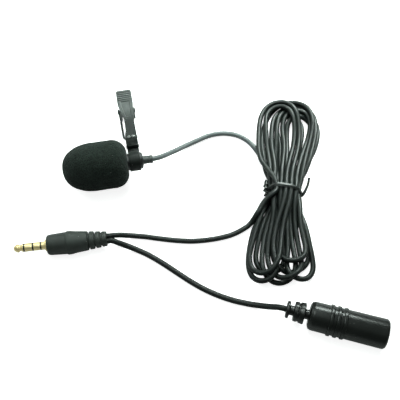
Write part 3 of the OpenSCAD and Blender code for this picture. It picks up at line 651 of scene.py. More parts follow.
def frames(path: np.ndarray) -> Iterator[tuple[np.ndarray, np.ndarray, np.ndarray]]:
    """Carries a frame along a path without a twist, as (centre, side, up)."""
    ahead = np.gradient(path, axis=0)
    ahead /= np.linalg.norm(ahead, axis=1)[:, None]
    side = np.cross(ahead[0], (0, 0, 1.0))
    for centre, t in zip(path, ahead):
        side = side - t * side.dot(t)
        side /= np.linalg.norm(side)
        yield centre, side, np.cross(side, t)


def ring_faces(rings: int, sides: int, closed: bool = False) -> list[tuple[int, ...]]:
    """The faces between rings of points.

    Args:
        rings: How many rings there are.
        sides: Points in each ring.
        closed: Whether the last ring joins the first.

    Returns:
        The faces, ring by ring.
    """
    faces = []
    for i in range(rings if closed else rings - 1):
        a, b = i * sides, (i + 1) % rings * sides
        for j in range(sides):
            n = (j + 1) % sides
            faces.append((a + j, a + n, b + n, b + j))
    return faces


def lathe(profile: Profile, segments: int = FINE, closed: bool = False) -> Shape:
    """Turns a line of (radius, x) points about X.

    Args:
        profile: The line. Its ends lie on the axis, unless it is closed.
        segments: Faces round the axis.
        closed: Whether the last point joins the first.

    Returns:
        The turned shape.
    """
    line = np.array(profile, float)
    angle = np.arange(segments) * 2 * math.pi / segments
    points = np.empty((len(line), segments, 3))
    points[:, :, 0] = line[:, 1:2]
    points[:, :, 1] = line[:, 0:1] * np.cos(angle)
    points[:, :, 2] = line[:, 0:1] * np.sin(angle)
    return Shape(points.reshape(-1, 3), ring_faces(len(line), segments, closed))


def tube(path: np.ndarray, radius: float, sides: int) -> Shape:
    """A round tube along ring centres, with flat ends and its own UV map.

    Args:
        path: The ring centres.
        radius: The tube's radius.
        sides: Faces round the tube.

    Returns:
        The tube, whose UV map has one turn across and metres along.
    """
    angle = np.arange(sides) * 2 * math.pi / sides
    rings = np.empty((len(path), sides, 3))
    for i, (centre, side, up) in enumerate(frames(path)):
        rings[i] = centre + radius * (np.outer(np.cos(angle), side) + np.outer(np.sin(angle), up))
    run, uv = distances(path) * MM, []
    for near, far in zip(run, run[1:]):
        for j in range(sides):
            u, w = j / sides, (j + 1) / sides
            uv += [(u, near), (w, near), (w, far), (u, far)]
    last = (len(path) - 1) * sides
    faces = ring_faces(len(path), sides)
    faces += [tuple(range(sides))[::-1], tuple(range(last, last + sides))]
    uv += [(0.5, run[0])] * sides + [(0.5, run[-1])] * sides
    return Shape(rings.reshape(-1, 3), faces, np.array(uv))


def plate(outline: Profile, x0: float, x1: float, edge: float = 0.1) -> Shape:
    """A flat plate drawn in the Y-Z plane, with rounded edges.

    Args:
        outline: Corners as (y, z).
        x0: Its lower side along X.
        x1: Its upper side along X.
        edge: How far its edges are rounded.

    Returns:
        The plate.
    """
    work = bmesh.new()
    corners = [work.verts.new((x0, y, z)) for y, z in outline]
    face = work.faces.new(corners)
    grown = bmesh.ops.extrude_face_region(work, geom=[face])["geom"]
    moved = [v for v in grown if isinstance(v, bmesh.types.BMVert)]
    bmesh.ops.translate(work, verts=moved, vec=(x1 - x0, 0, 0))
    bmesh.ops.recalc_face_normals(work, faces=work.faces)
    if edge:
        settings = {"offset": edge, "segments": 2, "profile": 0.6, "affect": "EDGES"}
        bmesh.ops.bevel(work, geom=work.edges[:], clamp_overlap=True, **settings)
    bmesh.ops.triangulate(work, faces=[f for f in work.faces if len(f.verts) > 4])
    work.verts.index_update()
    points = np.array([v.co[:] for v in work.verts])
    faces = [tuple(v.index for v in f.verts) for f in work.faces]
    work.free()
    return Shape(points, faces)


def spline(points: np.ndarray, step: float, cuts: int = 24) -> np.ndarray:
    """A smooth curve through points, cut into even steps.

    Args:
        points: What the curve passes through.
        step: Length of each step.
        cuts: Points worked out between two of them.

    Returns:
        The points of the curve.
    """
    p = np.array(points, float)
    p = np.vstack([2 * p[0] - p[1], p, 2 * p[-1] - p[-2]])
    made = []
    for p0, p1, p2, p3 in zip(p, p[1:], p[2:], p[3:]):
        t1 = np.linalg.norm(p1 - p0) ** 0.5
        t2 = t1 + np.linalg.norm(p2 - p1) ** 0.5
        t3 = t2 + np.linalg.norm(p3 - p2) ** 0.5
        t = np.linspace(t1, t2, cuts, endpoint=False)[:, None]
        a1 = (t1 - t) / t1 * p0 + t / t1 * p1
        a2 = (t2 - t) / (t2 - t1) * p1 + (t - t1) / (t2 - t1) * p2
        a3 = (t3 - t) / (t3 - t2) * p2 + (t - t2) / (t3 - t2) * p3
        b1 = (t2 - t) / t2 * a1 + t / t2 * a2
        b2 = (t3 - t) / (t3 - t1) * a2 + (t - t1) / (t3 - t1) * a3
        made.append((t2 - t) / (t2 - t1) * b1 + (t - t1) / (t2 - t1) * b2)
    made.append(p[-2:-1])
    return even(np.vstack(made), step)


def even(line: np.ndarray, step: float) -> np.ndarray:
    """Cuts a line into even steps."""
    run = distances(line)
    where = np.linspace(0, run[-1], max(2, int(round(run[-1] / step)) + 1))
    return np.stack([np.interp(where, run, line[:, i]) for i in range(3)], 1)


# ------------------------------------------------------------ geometry nodes


def new_tree(name: str, inputs: dict[str, str]) -> tuple[Any, Graph]:
    """Starts a geometry tree.

    Args:
        name: The tree's name.
        inputs: Each input's name and socket type.

    Returns:
        The tree and the graph that fills it.
    """
    tree = bpy.data.node_groups.new(name, "GeometryNodeTree")
    socket = tree.interface.new_socket
    socket("Geometry", in_out="INPUT", socket_type="NodeSocketGeometry")
    for label, kind in inputs.items():
        socket(label, in_out="INPUT", socket_type=f"NodeSocket{kind}")
    socket("Geometry", in_out="OUTPUT", socket_type="NodeSocketGeometry")
    return tree, Graph(tree)


def finish_tree(g: Graph, geometry: Any, material: Any) -> None:
    """Ends a geometry tree in real faces with their material."""
    real = g.node("GeometryNodeRealizeInstances", {"Geometry": geometry})
    dressed = {"Geometry": real.outputs[0], "Material": material}
    last = g.node("GeometryNodeSetMaterial", dressed)
    g.node("NodeGroupOutput", {"Geometry": last.outputs[0]})


class Patterns:
    """The trees that make what repeats or follows a path or a surface."""

    def __init__(self) -> None:
        """Builds the trees."""
        self.row = self._row()
        self.wire = self._wire()
        self.pores = self._pores()
        self.sieve = self._sieve()

    @staticmethod
    def _row() -> Any:
        """Copies of a shape in a row, each a little smaller across than the one before."""
        kinds = {"Count": "Int", "Step": "Vector", "Shrink": "Float", "Material": "Material"}
        tree, g = new_tree("row of copies", kinds)
        inp = g.node("NodeGroupInput").outputs
        sockets = {"Count": inp["Count"], "Offset": inp["Step"]}
        line = g.node("GeometryNodeMeshLine", sockets, mode="OFFSET")
        index = g.node("GeometryNodeInputIndex").outputs[0]
        less = g.math("MULTIPLY", index, inp["Shrink"])
        across = g.math("SUBTRACT", 1.0, less)
        scale = g.node("ShaderNodeCombineXYZ", {0: 1.0, 1: across, 2: across}).outputs[0]
        copies = {"Points": line.outputs[0], "Instance": inp["Geometry"], "Scale": scale}
        made = g.node("GeometryNodeInstanceOnPoints", copies)
        finish_tree(g, made.outputs[0], inp["Material"])
        return tree

    @staticmethod
    def _wire() -> Any:
        """A round wire along the edges of a line."""
        tree, g = new_tree("wire", {"Radius": "Float", "Sides": "Int", "Material": "Material"})
        inp = g.node("NodeGroupInput").outputs
        curve = g.node("GeometryNodeMeshToCurve", {0: inp["Geometry"]}).outputs[0]
        sockets = {"Resolution": inp["Sides"], "Radius": inp["Radius"]}
        ring = g.node("GeometryNodeCurvePrimitiveCircle", sockets).outputs[0]
        swept = {"Curve": curve, "Profile Curve": ring, "Fill Caps": True}
        made = g.node("GeometryNodeCurveToMesh", swept)
        finish_tree(g, made.outputs[0], inp["Material"])
        return tree

    @staticmethod
    def _pores() -> Any:
        """Sinks foam cells into a skin, where the skin attribute says so."""
        kinds = {"Cell Size": "Float", "Depth": "Float", "Lump Size": "Float", "Lump": "Float"}
        tree, g = new_tree("foam pores", kinds | {"Seed": "Float", "Material": "Material"})
        inp = g.node("NodeGroupInput").outputs
        spot = g.node("GeometryNodeInputPosition").outputs[0]
        scale = g.math("DIVIDE", 1.0, inp["Cell Size"])
        cells = {"Vector": spot, "W": inp["Seed"], "Scale": scale, "Randomness": 1.0}
        voronoi = g.node("ShaderNodeTexVoronoi", cells, voronoi_dimensions="4D")
        strut = g.ramp(voronoi.outputs["Distance"], 0.1, 0.7)
        sunk = g.math("MULTIPLY", g.math("SUBTRACT", strut, 0.75), inp["Depth"])
        wide = g.math("DIVIDE", 1.0, inp["Lump Size"])
        cloud = {"Vector": spot, "W": inp["Seed"], "Scale": wide, "Detail": 2.0}
        noise = g.node("ShaderNodeTexNoise", cloud, noise_dimensions="4D").outputs["Fac"]
        lump = g.math("MULTIPLY", g.math("SUBTRACT", noise, 0.5), inp["Lump"])
        both = g.math("ADD", sunk, lump)
        named = g.node("GeometryNodeInputNamedAttribute", {"Name": "skin"}, data_type="FLOAT")
        held = g.math("MULTIPLY", both, named.outputs[0])
        normal = g.node("GeometryNodeInputNormal").outputs[0]
        push = g.node("ShaderNodeVectorMath", {0: normal, "Scale": held}, operation="SCALE")
        sockets = {"Geometry": inp["Geometry"], "Offset": push.outputs[0]}
        made = g.node("GeometryNodeSetPosition", sockets)
        finish_tree(g, made.outputs[0], inp["Material"])
        return tree

    @staticmethod
    def _sieve() -> Any:
        """Drills holes through a face plate, one in the middle and a ring round it."""
        kinds = {"Hole Radius": "Float", "Ring Radius": "Float", "Count": "Int"}
        tree, g = new_tree("sound holes", kinds | {"Depth": "Float", "Material": "Material"})
        inp = g.node("NodeGroupInput").outputs
        sockets = {"Vertices": inp["Count"], "Radius": inp["Ring Radius"]}
        ring = g.node("GeometryNodeMeshCircle", sockets).outputs[0]
        centre = g.node("GeometryNodeMeshLine", {"Count": 1}).outputs[0]
        spots = g.node("GeometryNodeJoinGeometry")
        g.link(ring, spots.inputs[0])
        g.link(centre, spots.inputs[0])
        drill = {"Vertices": 24, "Radius": inp["Hole Radius"], "Depth": inp["Depth"]}
        bit = g.node("GeometryNodeMeshCylinder", drill).outputs[0]
        copies = {"Points": spots.outputs[0], "Instance": bit}
        bits = g.node("GeometryNodeInstanceOnPoints", copies).outputs[0]
        flat = g.node("GeometryNodeTransform", {0: bits, "Rotation": (0, math.pi / 2, 0)})
        real = g.node("GeometryNodeRealizeInstances", {0: flat.outputs[0]}).outputs[0]
        cut = g.node("GeometryNodeMeshBoolean", operation="DIFFERENCE", solver="EXACT")
        g.link(inp["Geometry"], cut.inputs["Mesh 1"])
        g.link(real, cut.inputs["Mesh 2"])
        finish_tree(g, cut.outputs[0], inp["Material"])
        return tree


PATTERNS = Patterns()


def through(mesh: bpy.types.Mesh, tree: Any, place: Matrix, **values: Any) -> bpy.types.Mesh:
    """Runs a mesh through a geometry tree.

    Args:
        mesh: What goes in, in metres, in the sub-assembly's own frame.
        tree: The tree.
        place: The sub-assembly's place, in millimetres.
        values: The tree's named inputs, with _ for a space.

    Returns:
        A plain mesh with its place in it.
    """
    work = bpy.data.objects.new("work", mesh)
    bpy.context.scene.collection.objects.link(work)
    live = work.modifiers.new("nodes", "NODES")
    live.node_group = tree
    wanted = {key.replace("_", " ").lower(): value for key, value in values.items()}
    for item in tree.interface.items_tree:
        if item.in_out == "INPUT" and item.name.lower() in wanted:
            live[item.identifier] = wanted[item.name.lower()]
    graph = bpy.context.evaluated_depsgraph_get()
    made = bpy.data.meshes.new_from_object(work.evaluated_get(graph))
    bpy.data.objects.remove(work)
    metres = place.copy()
    metres.translation = metres.translation * MM
    made.transform(metres)
    return made


def row_of(
    shape: Shape,
    place: Matrix,
    count: int,
    step: Point,
    finish: Finish,
    shrink: float = 0.0,
) -> bpy.types.Mesh:
    """Sets copies of a shape in a row.

    Args:
        shape: The shape.
        place: The place of the first one, in millimetres.
        count: How many there are.
        step: From each one to the next, in millimetres.
        finish: Their finish.
        shrink: How much smaller across each is than the one before.

    Returns:
        A plain mesh with its place in it.
    """
    return through(
        shape.mesh("one", Matrix()), PATTERNS.row, place, count=count,
        step=tuple(v * MM for v in step), shrink=shrink, material=finish.build())


# -------------------------------------------------------------------- pieces


def add_piece(
    name: str,
    mesh: bpy.types.Mesh,
    finish: Finish,
    body: Body,
    replaces: Sequence[str] = (),
    angle: float = SMOOTH_ANGLE,
) -> bpy.types.Object:
    """Adds a finished piece to the model.

    Args:
        name: The piece's name.
        mesh: Its mesh, in metres, with its place in it.
        finish: Its finish.
        body: The body that it rides on.
        replaces: The CAD nodes that it stands for.
        angle: Edges sharper than this stay sharp.

    Returns:
        The object.
    """
    mesh.name = name
    smooth(mesh, angle)
    mesh.materials.clear()
    mesh.materials.append(finish.build())
    made = bpy.data.objects.new(name, mesh)
    bpy.context.scene.collection.objects.link(made)
    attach(made, body.value)
    if replaces:
        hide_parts(*replaces)
    LOG.info("%s: %d faces, on %s", name, len(mesh.polygons), body.value)
    return made


def dress_node(name: str, finish: Finish) -> bpy.types.Object:
    """Gives a carried-over CAD node its finish."""
    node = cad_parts[name]
    if not node.material_slots:
        node.data.materials.append(finish.build())
    for place in node.material_slots:
        place.material = finish.build()
    LOG.info("%s: kept, finish %s", name, finish.name)
    return node


# -------------------------------------------------------------------- studio


LAMP_TINT = (0.88, 1.0, 0.95)


def aimed(name: str, data: Any, spot: Point, aim: Point) -> bpy.types.Object:
    """Adds a lamp or a camera that looks from a spot at a point, in millimetres."""
    made = bpy.data.objects.new(name, data)
    bpy.context.scene.collection.objects.link(made)
    made.location = Vector(spot) * MM
    line = (Vector(aim) - Vector(spot)).normalized()
    made.rotation_euler = line.to_track_quat("-Z", "Y").to_euler()
    return made


@dataclass
class Lamp:
    """A soft area light that looks at a point, in millimetres."""

    name: str
    spot: Point
    aim: Point
    size: tuple[float, float]
    power: float
    spread: float = 180.0

    def build(self) -> None:
        """Makes the light."""
        data = bpy.data.lights.new(self.name, "AREA")
        data.shape = "RECTANGLE"
        data.size, data.size_y = self.size[0] * MM, self.size[1] * MM
        data.energy = self.power
        data.color = LAMP_TINT
        data.spread = math.radians(self.spread)
        aimed(self.name, data, self.spot, self.aim)


@dataclass
class Studio:
    """The camera, the pale table and the soft lights."""

    eye: Point = (17.263, -163.844, 251.640)
    aim: Point = (38.194, -31.692, 0.0)
    lens: float = 18 / 0.314
    sensor: float = 36.0
    table_half: float = 1600.0
    sky: float = 0.10
    backdrop: float = 0.93
    lamps: list[Lamp] = field(
        default_factory=lambda: [
            Lamp("back light", (105, 112, 120), (52, 14, 0), (210, 80), 0.19, 44.0),
            Lamp("pad light", (14, 60, 420), (12, 20, 0), (110, 70), 0.35),
            Lamp("top light", (-10, -20, 420), (10, -30, 0), (260, 120), 0.40),
            Lamp("key light", (-200, 200, 260), (0, 0, 0), (260, 200), 0.6),
            Lamp("fill light", (300, -320, 420), (60, -60, 0), (420, 420), 0.09),
        ]
    )

    def build(self) -> None:
        """Makes the camera, the world, the table and the lights."""
        scene = bpy.context.scene
        data = bpy.data.cameras.new("camera")
        data.sensor_width, data.lens, data.clip_start = self.sensor, self.lens, 0.01
        scene.camera = aimed("camera", data, self.eye, self.aim)
        scene.view_settings.view_transform = "Standard"
        world = bpy.data.worlds.new("studio")
        world.use_nodes = True
        sky = world.node_tree.nodes["Background"]
        g = Graph(world.node_tree)
        seen = g.node("ShaderNodeLightPath").outputs["Is Camera Ray"]
        g.link(g.blend(seen, LAMP_TINT, (1.0, 1.0, 1.0)), sky.inputs["Color"])
        g.link(g.ramp(seen, 0, 1, (self.sky, self.backdrop)), sky.inputs["Strength"])
        scene.world = world
        half = self.table_half
        corners = [(-half, -half, 0), (half, -half, 0), (half, half, 0), (-half, half, 0)]
        mesh = Shape(np.array(corners, float), [(0, 1, 2, 3)]).mesh("table", Matrix())
        mesh.materials.append(TABLE.build())
        table = bpy.data.objects.new("table", mesh)
        scene.collection.objects.link(table)
        table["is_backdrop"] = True
        for lamp in self.lamps:
            lamp.build()
        LOG.info("studio: camera, table and %d lights", len(self.lamps))


# --------------------------------------------------------------------- cords


@dataclass
class Turn:
    """One turn of the hank, seen from above, as the points that it heads for.

    The turn starts and ends at the tie, goes down round the lower lobe, up
    through the tie and round the upper lobe.
    """

    start: float
    low_left: tuple[float, float]
    low_tip: tuple[float, float]
    low_right: tuple[float, float]
    across: float
    top_right: tuple[float, float]
    top_tip: tuple[float, float]
    top_left: tuple[float, float]
    corner_share: float = 0.74
    corner_drop: float = 0.36

    def points(self, z: float, rise: float) -> list[Point]:
        """The turn's points, climbing from z by rise."""
        s, q = self.corner_share, self.corner_drop

        def beside(tip: tuple, side: tuple) -> tuple[float, float]:
            """A point on the shoulder between a lobe's tip and its side."""
            return tip[0] + (side[0] - tip[0]) * s, tip[1] + (side[1] - tip[1]) * q

        flat = [
            ((self.start, 0.0), 0.0), (self.low_left, 0.12),
            (beside(self.low_tip, self.low_left), 0.20), (self.low_tip, 0.25),
            (beside(self.low_tip, self.low_right), 0.30), (self.low_right, 0.38),
            ((self.across, 0.0), 0.5), (self.top_right, 0.62),
            (beside(self.top_tip, self.top_right), 0.70), (self.top_tip, 0.75),
            (beside(self.top_tip, self.top_left), 0.80), (self.top_left, 0.88),
        ]
        return [(x, y, z + rise * share) for (x, y), share in flat]


HANK_TURNS = [
    Turn(-6.0, (-9.1, -22.4), (-0.6, -41.0), (0.7, -28.0),
         2.4, (7.0, 28.0), (0.5, 44.2), (-4.0, 28.0)),
    Turn(-1.8, (-2.8, -25.2), (7.6, -39.6), (13.0, -25.5),
         6.0, (13.2, 33.0), (4.4, 47.8), (-4.6, 31.6)),
    Turn(-4.0, (-7.7, -28.0), (-0.6, -44.8), (5.2, -28.5),
         2.0, (13.7, 29.0), (4.9, 43.1), (0.2, 27.0)),
    Turn(1.3, (3.2, -27.0), (7.6, -43.6), (11.6, -29.0),
         6.4, (12.0, 34.0), (2.4, 49.8), (-6.0, 33.0)),
    Turn(-3.1, (-5.2, -28.0), (4.2, -43.4), (7.8, -28.2),
         3.5, (11.4, 29.3), (5.0, 46.0), (-1.6, 26.3)),
    Turn(-0.8, (-1.2, -23.7), (2.9, -36.0), (9.8, -23.8),
         5.3, (11.6, 34.2), (0.5, 49.6), (-11.4, 34.0)),
    Turn(-7.6, (-13.4, -22.8), (-6.2, -46.4), (-2.9, -32.4),
         0.1, (3.8, 27.0), (-4.8, 47.2), (-9.6, 30.0)),
    Turn(-6.6, (-11.6, -22.2), (-6.2, -42.8), (-0.6, -29.3),
         1.8, (5.5, 30.0), (-3.8, 49.6), (-13.2, 29.4)),
]


@dataclass
class Rope:
    """Settles a limp cord of fixed length on the table under its own weight.

    Attributes:
        room: How far apart two stretches lie, centre to centre.
        deep: Stretches nearer than this share of the room are lifted apart,
            the later one upwards.
        over: How strongly they are lifted.
        step: Distance between two points of the cord.
        bend: The tightest radius that it is bent to.
        steps: Rounds in which it falls.
        settle: Rounds in which it comes to rest.
        passes: How often each round evens out the cord.
        fall: What each round adds to its downward speed.
        calm_fall: The same while it comes to rest.
        drag: The share of its speed that a round leaves.
        top_speed: The furthest that a point moves in a round.
        margin: How far beyond a diameter a stretch looks for others.
        waist: Half the width and half the height that the tie leaves.
        waist_reach: Half the tie's width along the hank.
        pull: How strongly a point is drawn back over where it was laid.
    """

    diameter: float = 2.3
    room: float = 2.38
    deep: float = 0.8
    over: float = 0.9
    step: float = 2.0
    bend: float = 5.7
    steps: int = 300
    settle: int = 160
    passes: int = 6
    fall: float = 0.055
    calm_fall: float = 0.004
    drag: float = 0.80
    top_speed: float = 1.2
    margin: float = 1.4
    waist: tuple[float, float] = (7.9, 4.2)
    waist_reach: float = 2.2
    pull: float = 0.10

    @staticmethod
    def _span(
        p: np.ndarray, k: int, low: float, high: float, free: np.ndarray, gain: float
    ) -> None:
        """Keeps points that are k steps apart between two distances."""
        for first in range(2 * k):
            i = np.arange(first, len(p) - k, 2 * k)
            if not len(i):
                continue
            j = i + k
            gap = p[j] - p[i]
            size = np.maximum(np.linalg.norm(gap, axis=1), 1e-9)
            off = gain * (size - np.clip(size, low, high)) / size
            total = free[i] + free[j]
            total[total == 0] = 1
            p[i] += gap * (off * free[i] / total)[:, None]
            p[j] -= gap * (off * free[j] / total)[:, None]

    @staticmethod
    def _pairs(p: np.ndarray, reach: float) -> tuple[np.ndarray, np.ndarray]:
        """Points of different stretches that lie within reach of each other."""
        dot = p @ p.T
        size = np.diag(dot)
        apart = size[:, None] + size[None, :] - 2 * dot
        return np.where(np.triu(apart < reach * reach, 4))

    def _part(self, p: np.ndarray, pairs: tuple, free: np.ndarray) -> None:
        """Pushes stretches that lie in each other a diameter apart."""
        i, j = pairs
        gap = p[j] - p[i]
        size = np.linalg.norm(gap, axis=1)
        bad = size < self.room
        if not bad.any():
            return
        near = np.maximum(size[bad], 1e-6)[:, None]
        line = gap[bad] / near
        line[:, 2] += np.where(near[:, 0] < self.deep * self.room, self.over, 0.0)
        line /= np.linalg.norm(line, axis=1)[:, None]
        push = 0.5 * (self.room - near) * line
        total, count = np.zeros_like(p), np.zeros(len(p))
        np.add.at(total, i[bad], -push)
        np.add.at(total, j[bad], push)
        np.add.at(count, i[bad], 1)
        np.add.at(count, j[bad], 1)
        p += total / np.maximum(1, count * 0.62)[:, None] * free[:, None]

    def _gather(self, p: np.ndarray, loose: float) -> None:
        """Holds the stretches inside the tie."""
        r = self.diameter / 2
        at = np.abs(p[:, 1]) < self.waist_reach
        wide, high = self.waist[0] + 3 * loose, self.waist[1] + 14 * loose
        middle = high + 0.6
        x, z = p[at, 0] / (wide - r), (p[at, 2] - middle) / (high - r)
        far = np.sqrt(x * x + z * z)
        share = np.where(far > 1, 1 / np.maximum(far, 1e-9), 1.0)
        p[at, 0] *= share
        p[at, 2] = middle + (p[at, 2] - middle) * share

    def settled(self, p: np.ndarray, free: np.ndarray) -> np.ndarray:
        """Lets the cord fall and come to rest.

        Args:
            p: The cord's points, a step apart, laid out above the table.
            free: 1 for a point that may move and 0 for one that is held.

        Returns:
            The points at rest.
        """
        home, speed, move = p[:, :2].copy(), np.zeros_like(p), free[:, None]
        chord = [2 * self.bend * math.sin(k * self.step / (2 * self.bend)) for k in (2, 4, 6)]
        quick = 1.0
        steps, settle = int(self.steps * quick), int(self.settle * quick)
        for count in range(steps + settle):
            share, calm = min(1.0, count / steps), count >= steps
            before = p.copy()
            speed *= 0.0 if calm else self.drag
            speed[:, 2] -= self.calm_fall if calm else self.fall
            p = p + speed * move
            if count % 3 == 0:
                pairs = self._pairs(p, self.diameter + self.margin)
            for _ in range(self.passes):
                self._span(p, 1, self.step * 0.995, self.step * 1.005, free, 1.0)
                self._span(p, 4, chord[1], 99, free, 0.6)
                self._span(p, 6, chord[2], 99, free, 0.4)
                self._span(p, 2, chord[0], 99, free, 0.8)
                even_out = p.copy()
                even_out[2:-2] = (-p[:-4] + 4 * p[1:-3] + 4 * p[3:-1] - p[4:]) / 6
                p += (0.10 if calm else 0.30) * (even_out - p) * move
                if not calm:
                    level = p[:, 2].copy()
                    level[3:-3] = 0.5 * (p[:-6, 2] + p[6:, 2])
                    p[:, 2] += 0.12 * (level - p[:, 2]) * free
                for _ in range(2 if calm else 1):
                    self._part(p, pairs, free)
                    self._gather(p, 1 - min(1.0, share * 1.6))
                    p[:, 2] = np.maximum(p[:, 2], self.diameter / 2)
            if not calm:
                p[:, :2] += self.pull * (1 - 0.7 * share) * (home - p[:, :2]) * move
            speed = p - before
            fast = np.linalg.norm(speed, axis=1)
            over = fast > self.top_speed
            speed[over] *= (self.top_speed / fast[over])[:, None]
        return p

    def draped(self, over: np.ndarray, line: np.ndarray, ends: int = 4) -> np.ndarray:
        """Lays a stretch over what is under it and lets it fall to the table.

        Args:
            over: The points that it may lie on.
            line: The stretch, whose places from above stay.
            ends: Points at each end whose height stays.

        Returns:
            The stretch with its new heights.
        """
        d = self.diameter
        need = np.full(len(line), d / 2)
        for i, (x, y, _) in enumerate(line):
            near = np.hypot(over[:, 0] - x, over[:, 1] - y)
            under = near < d
            if under.any():
                lift = over[under, 2] + np.sqrt(d * d - near[under] ** 2)
                need[i] = max(need[i], lift.max())
        need[:ends], need[-ends:] = line[:ends, 2], line[-ends:, 2]
        z = np.maximum(need, line[:, 2])
        for _ in range(600):
            middle = z.copy()
            middle[2:-2] = (-z[:-4] + 4 * z[1:-3] + 4 * z[3:-1] - z[4:]) / 6
            z = np.maximum(need, z + 0.6 * (middle - z) - 0.012)
            z[:ends], z[-ends:] = line[:ends, 2], line[-ends:, 2]
        made = line.copy()
        made[:, 2] = z
        return made


def relief_end(side: float, beyond: float = 0.0) -> np.ndarray:
    """A point of the cord on one side of the plug's strain relief."""
    return placed(AT_PLUG, [(RELIEF_END + beyond, side * CORD_SPREAD, 0.0)])[0]


@dataclass
class Cord:
    """A round cord along a path, in millimetres, in the model's frame."""

    diameter: float = 2.3
    sides: int = 14
    ring_step: float = 0.9
    crease_angle: float = 60.0
    path: np.ndarray = field(default_factory=lambda: np.zeros((0, 3)))

    def jacket(self, name: str, finish: Finish, nodes: Sequence[str]) -> bpy.types.Object:
        """Makes the cord's tube along its path.

        Args:
            name: The piece's name.
            finish: Its finish.
            nodes: The CAD nodes that it stands for.

        Returns:
            The piece.
        """
        mesh = tube(self.path, self.diameter / 2, self.sides).mesh(name, Matrix())
        return add_piece(name, mesh, finish, Body.MICROPHONE, nodes, self.crease_angle)

    def length(self, digits: int) -> float:
        """The cord's length, in metres, to so many digits."""
        return round(float(distances(self.path)[-1]) * MM, digits)


@dataclass
class MainCord(Cord):
    """The cord from the microphone through the tied hank to the plug.

    Attributes:
        climb: How far each turn is laid above the one before.
        last: Where the last turn crosses the tie.
        collar: Where the cord leaves the microphone.
        rope: How the cord settles.
        lead_in: From the collar to the hank, in the model's frame.
        entry: Into the hank, in the hank's frame.
        way_out: Out of the hank, in the hank's frame.
        lead_out: From the hank to the plug, in the model's frame.
        held: Points of the lead-in, at its end, that may move.
        lifted: Points of the lead-out that may still lie on the hank.
        own: Points before the way out that it doesn't lie on.
        pinned: Points at each end of the way out whose height stays.
        hank: The settled turns, once the cord is laid.
    """

    climb: float = 3.6
    last: float = -7.4
    collar: Point = (19.2, -13.6, 10.7)
    rope: Rope = field(default_factory=Rope)
    lead_in: list = field(
        default_factory=lambda: [
            (21.0, -13.45, 10.6), (24, -11.9, 8.9), (27.5, -9.2, 6.4), (31, -6.6, 4.1),
            (34.6, -4.1, 2.3), (38.5, -2.1, 1.3), (42.5, -0.6, 1.0), (46.5, 0.7, 1.0),
            (51, 1.5, 1.0), (55.5, 1.4, 1.0),
        ]
    )
    entry: list = field(default_factory=lambda: [(-15.6, 26.9, 1.0), (-12.6, 23.0, 1.0)])
    way_out: list = field(
        default_factory=lambda: [
            (-8.4, -7.5, 8.0), (-10.8, -12.6, 7.0), (-13.8, -17.0, 5.5), (-17.6, -20.4, 3.5),
        ]
    )
    lead_out: list = field(
        default_factory=lambda: [
            (48.5, -51.4, 1.0), (44.5, -51.9, 1.0), (40.5, -52.1, 1.0), (36, -52, 1.0),
            (31.5, -51.6, 1.0), (26.5, -50.6, 1.0), (21.5, -49.3, 1.0), (16.5, -47.8, 1.0),
            (12, -46.4, 1.0), (8, -45.5, 1.4), (4, -45.1, 2.6), (0.6, -45.1, 4.0),
        ]
    )
    held: int = 3
    lifted: int = 6
    own: int = 12
    pinned: int = 5
    out_step: float = 1.0
    even_step: float = 1.6
    hank: np.ndarray = field(default_factory=lambda: np.zeros((0, 3)))

    def _layout(self) -> list[Point]:
        """The hank's turns before they settle, each above the one before."""
        keys: list = []
        for k, turn in enumerate(HANK_TURNS):
            keys += turn.points(1.0 + self.climb * k, self.climb)
        top = 1.0 + self.climb * len(HANK_TURNS)
        return keys + [(self.last, 0.0, top), (self.last - 1.6, -5.0, top)]

    def route(self) -> np.ndarray:
        """The whole centreline, in millimetres, in the model's frame."""
        inward = AT_HANK.inverted()
        lead = placed(inward, [self.collar, *self.lead_in])
        keys = np.vstack([lead, self.entry, self._layout()])
        p = spline(keys, self.rope.step)
        joint = int(np.argmin(np.linalg.norm(p - lead[-1], axis=1)))
        free = np.ones(len(p))
        free[: max(0, joint - self.held)] = 0
        rest = self.rope.settled(p, free)
        self.hank = rest[joint:]
        tail = placed(inward, self.lead_out + [relief_end(1, 2.0), relief_end(1)])
        start = np.array([rest[-3], rest[-2]])
        out = spline(np.vstack([start, self.way_out, tail]), self.out_step)
        high = np.vstack([start, self.way_out, tail[: self.lifted]])
        count = len(spline(high, self.out_step))
        falls = self.rope.draped(rest[: -self.own], out[:count], self.pinned)
        whole = np.vstack([rest[:-3], falls, out[count:]])
        whole[:, 2] = np.maximum(whole[:, 2], self.diameter / 2)
        return placed(AT_HANK, spline(even(whole, self.even_step), self.ring_step))

    def build(self) -> bpy.types.Object:
        """Lays the cord and makes its jacket."""
        self.path = self.route()
        return self.jacket("main_cord", JACKET_WITH_PAINTED_LIGHT, ("mic_cord", "cord_hank", "plug_cord"))

    def declare(self, piece: bpy.types.Object, fittings: Sequence[bpy.types.Object]) -> None:
        """Says what the cord is."""
        LOG.info("main cord: %.3f m", self.length(3))
        tuple(v * MM for v in self.collar)
        self.length(2)


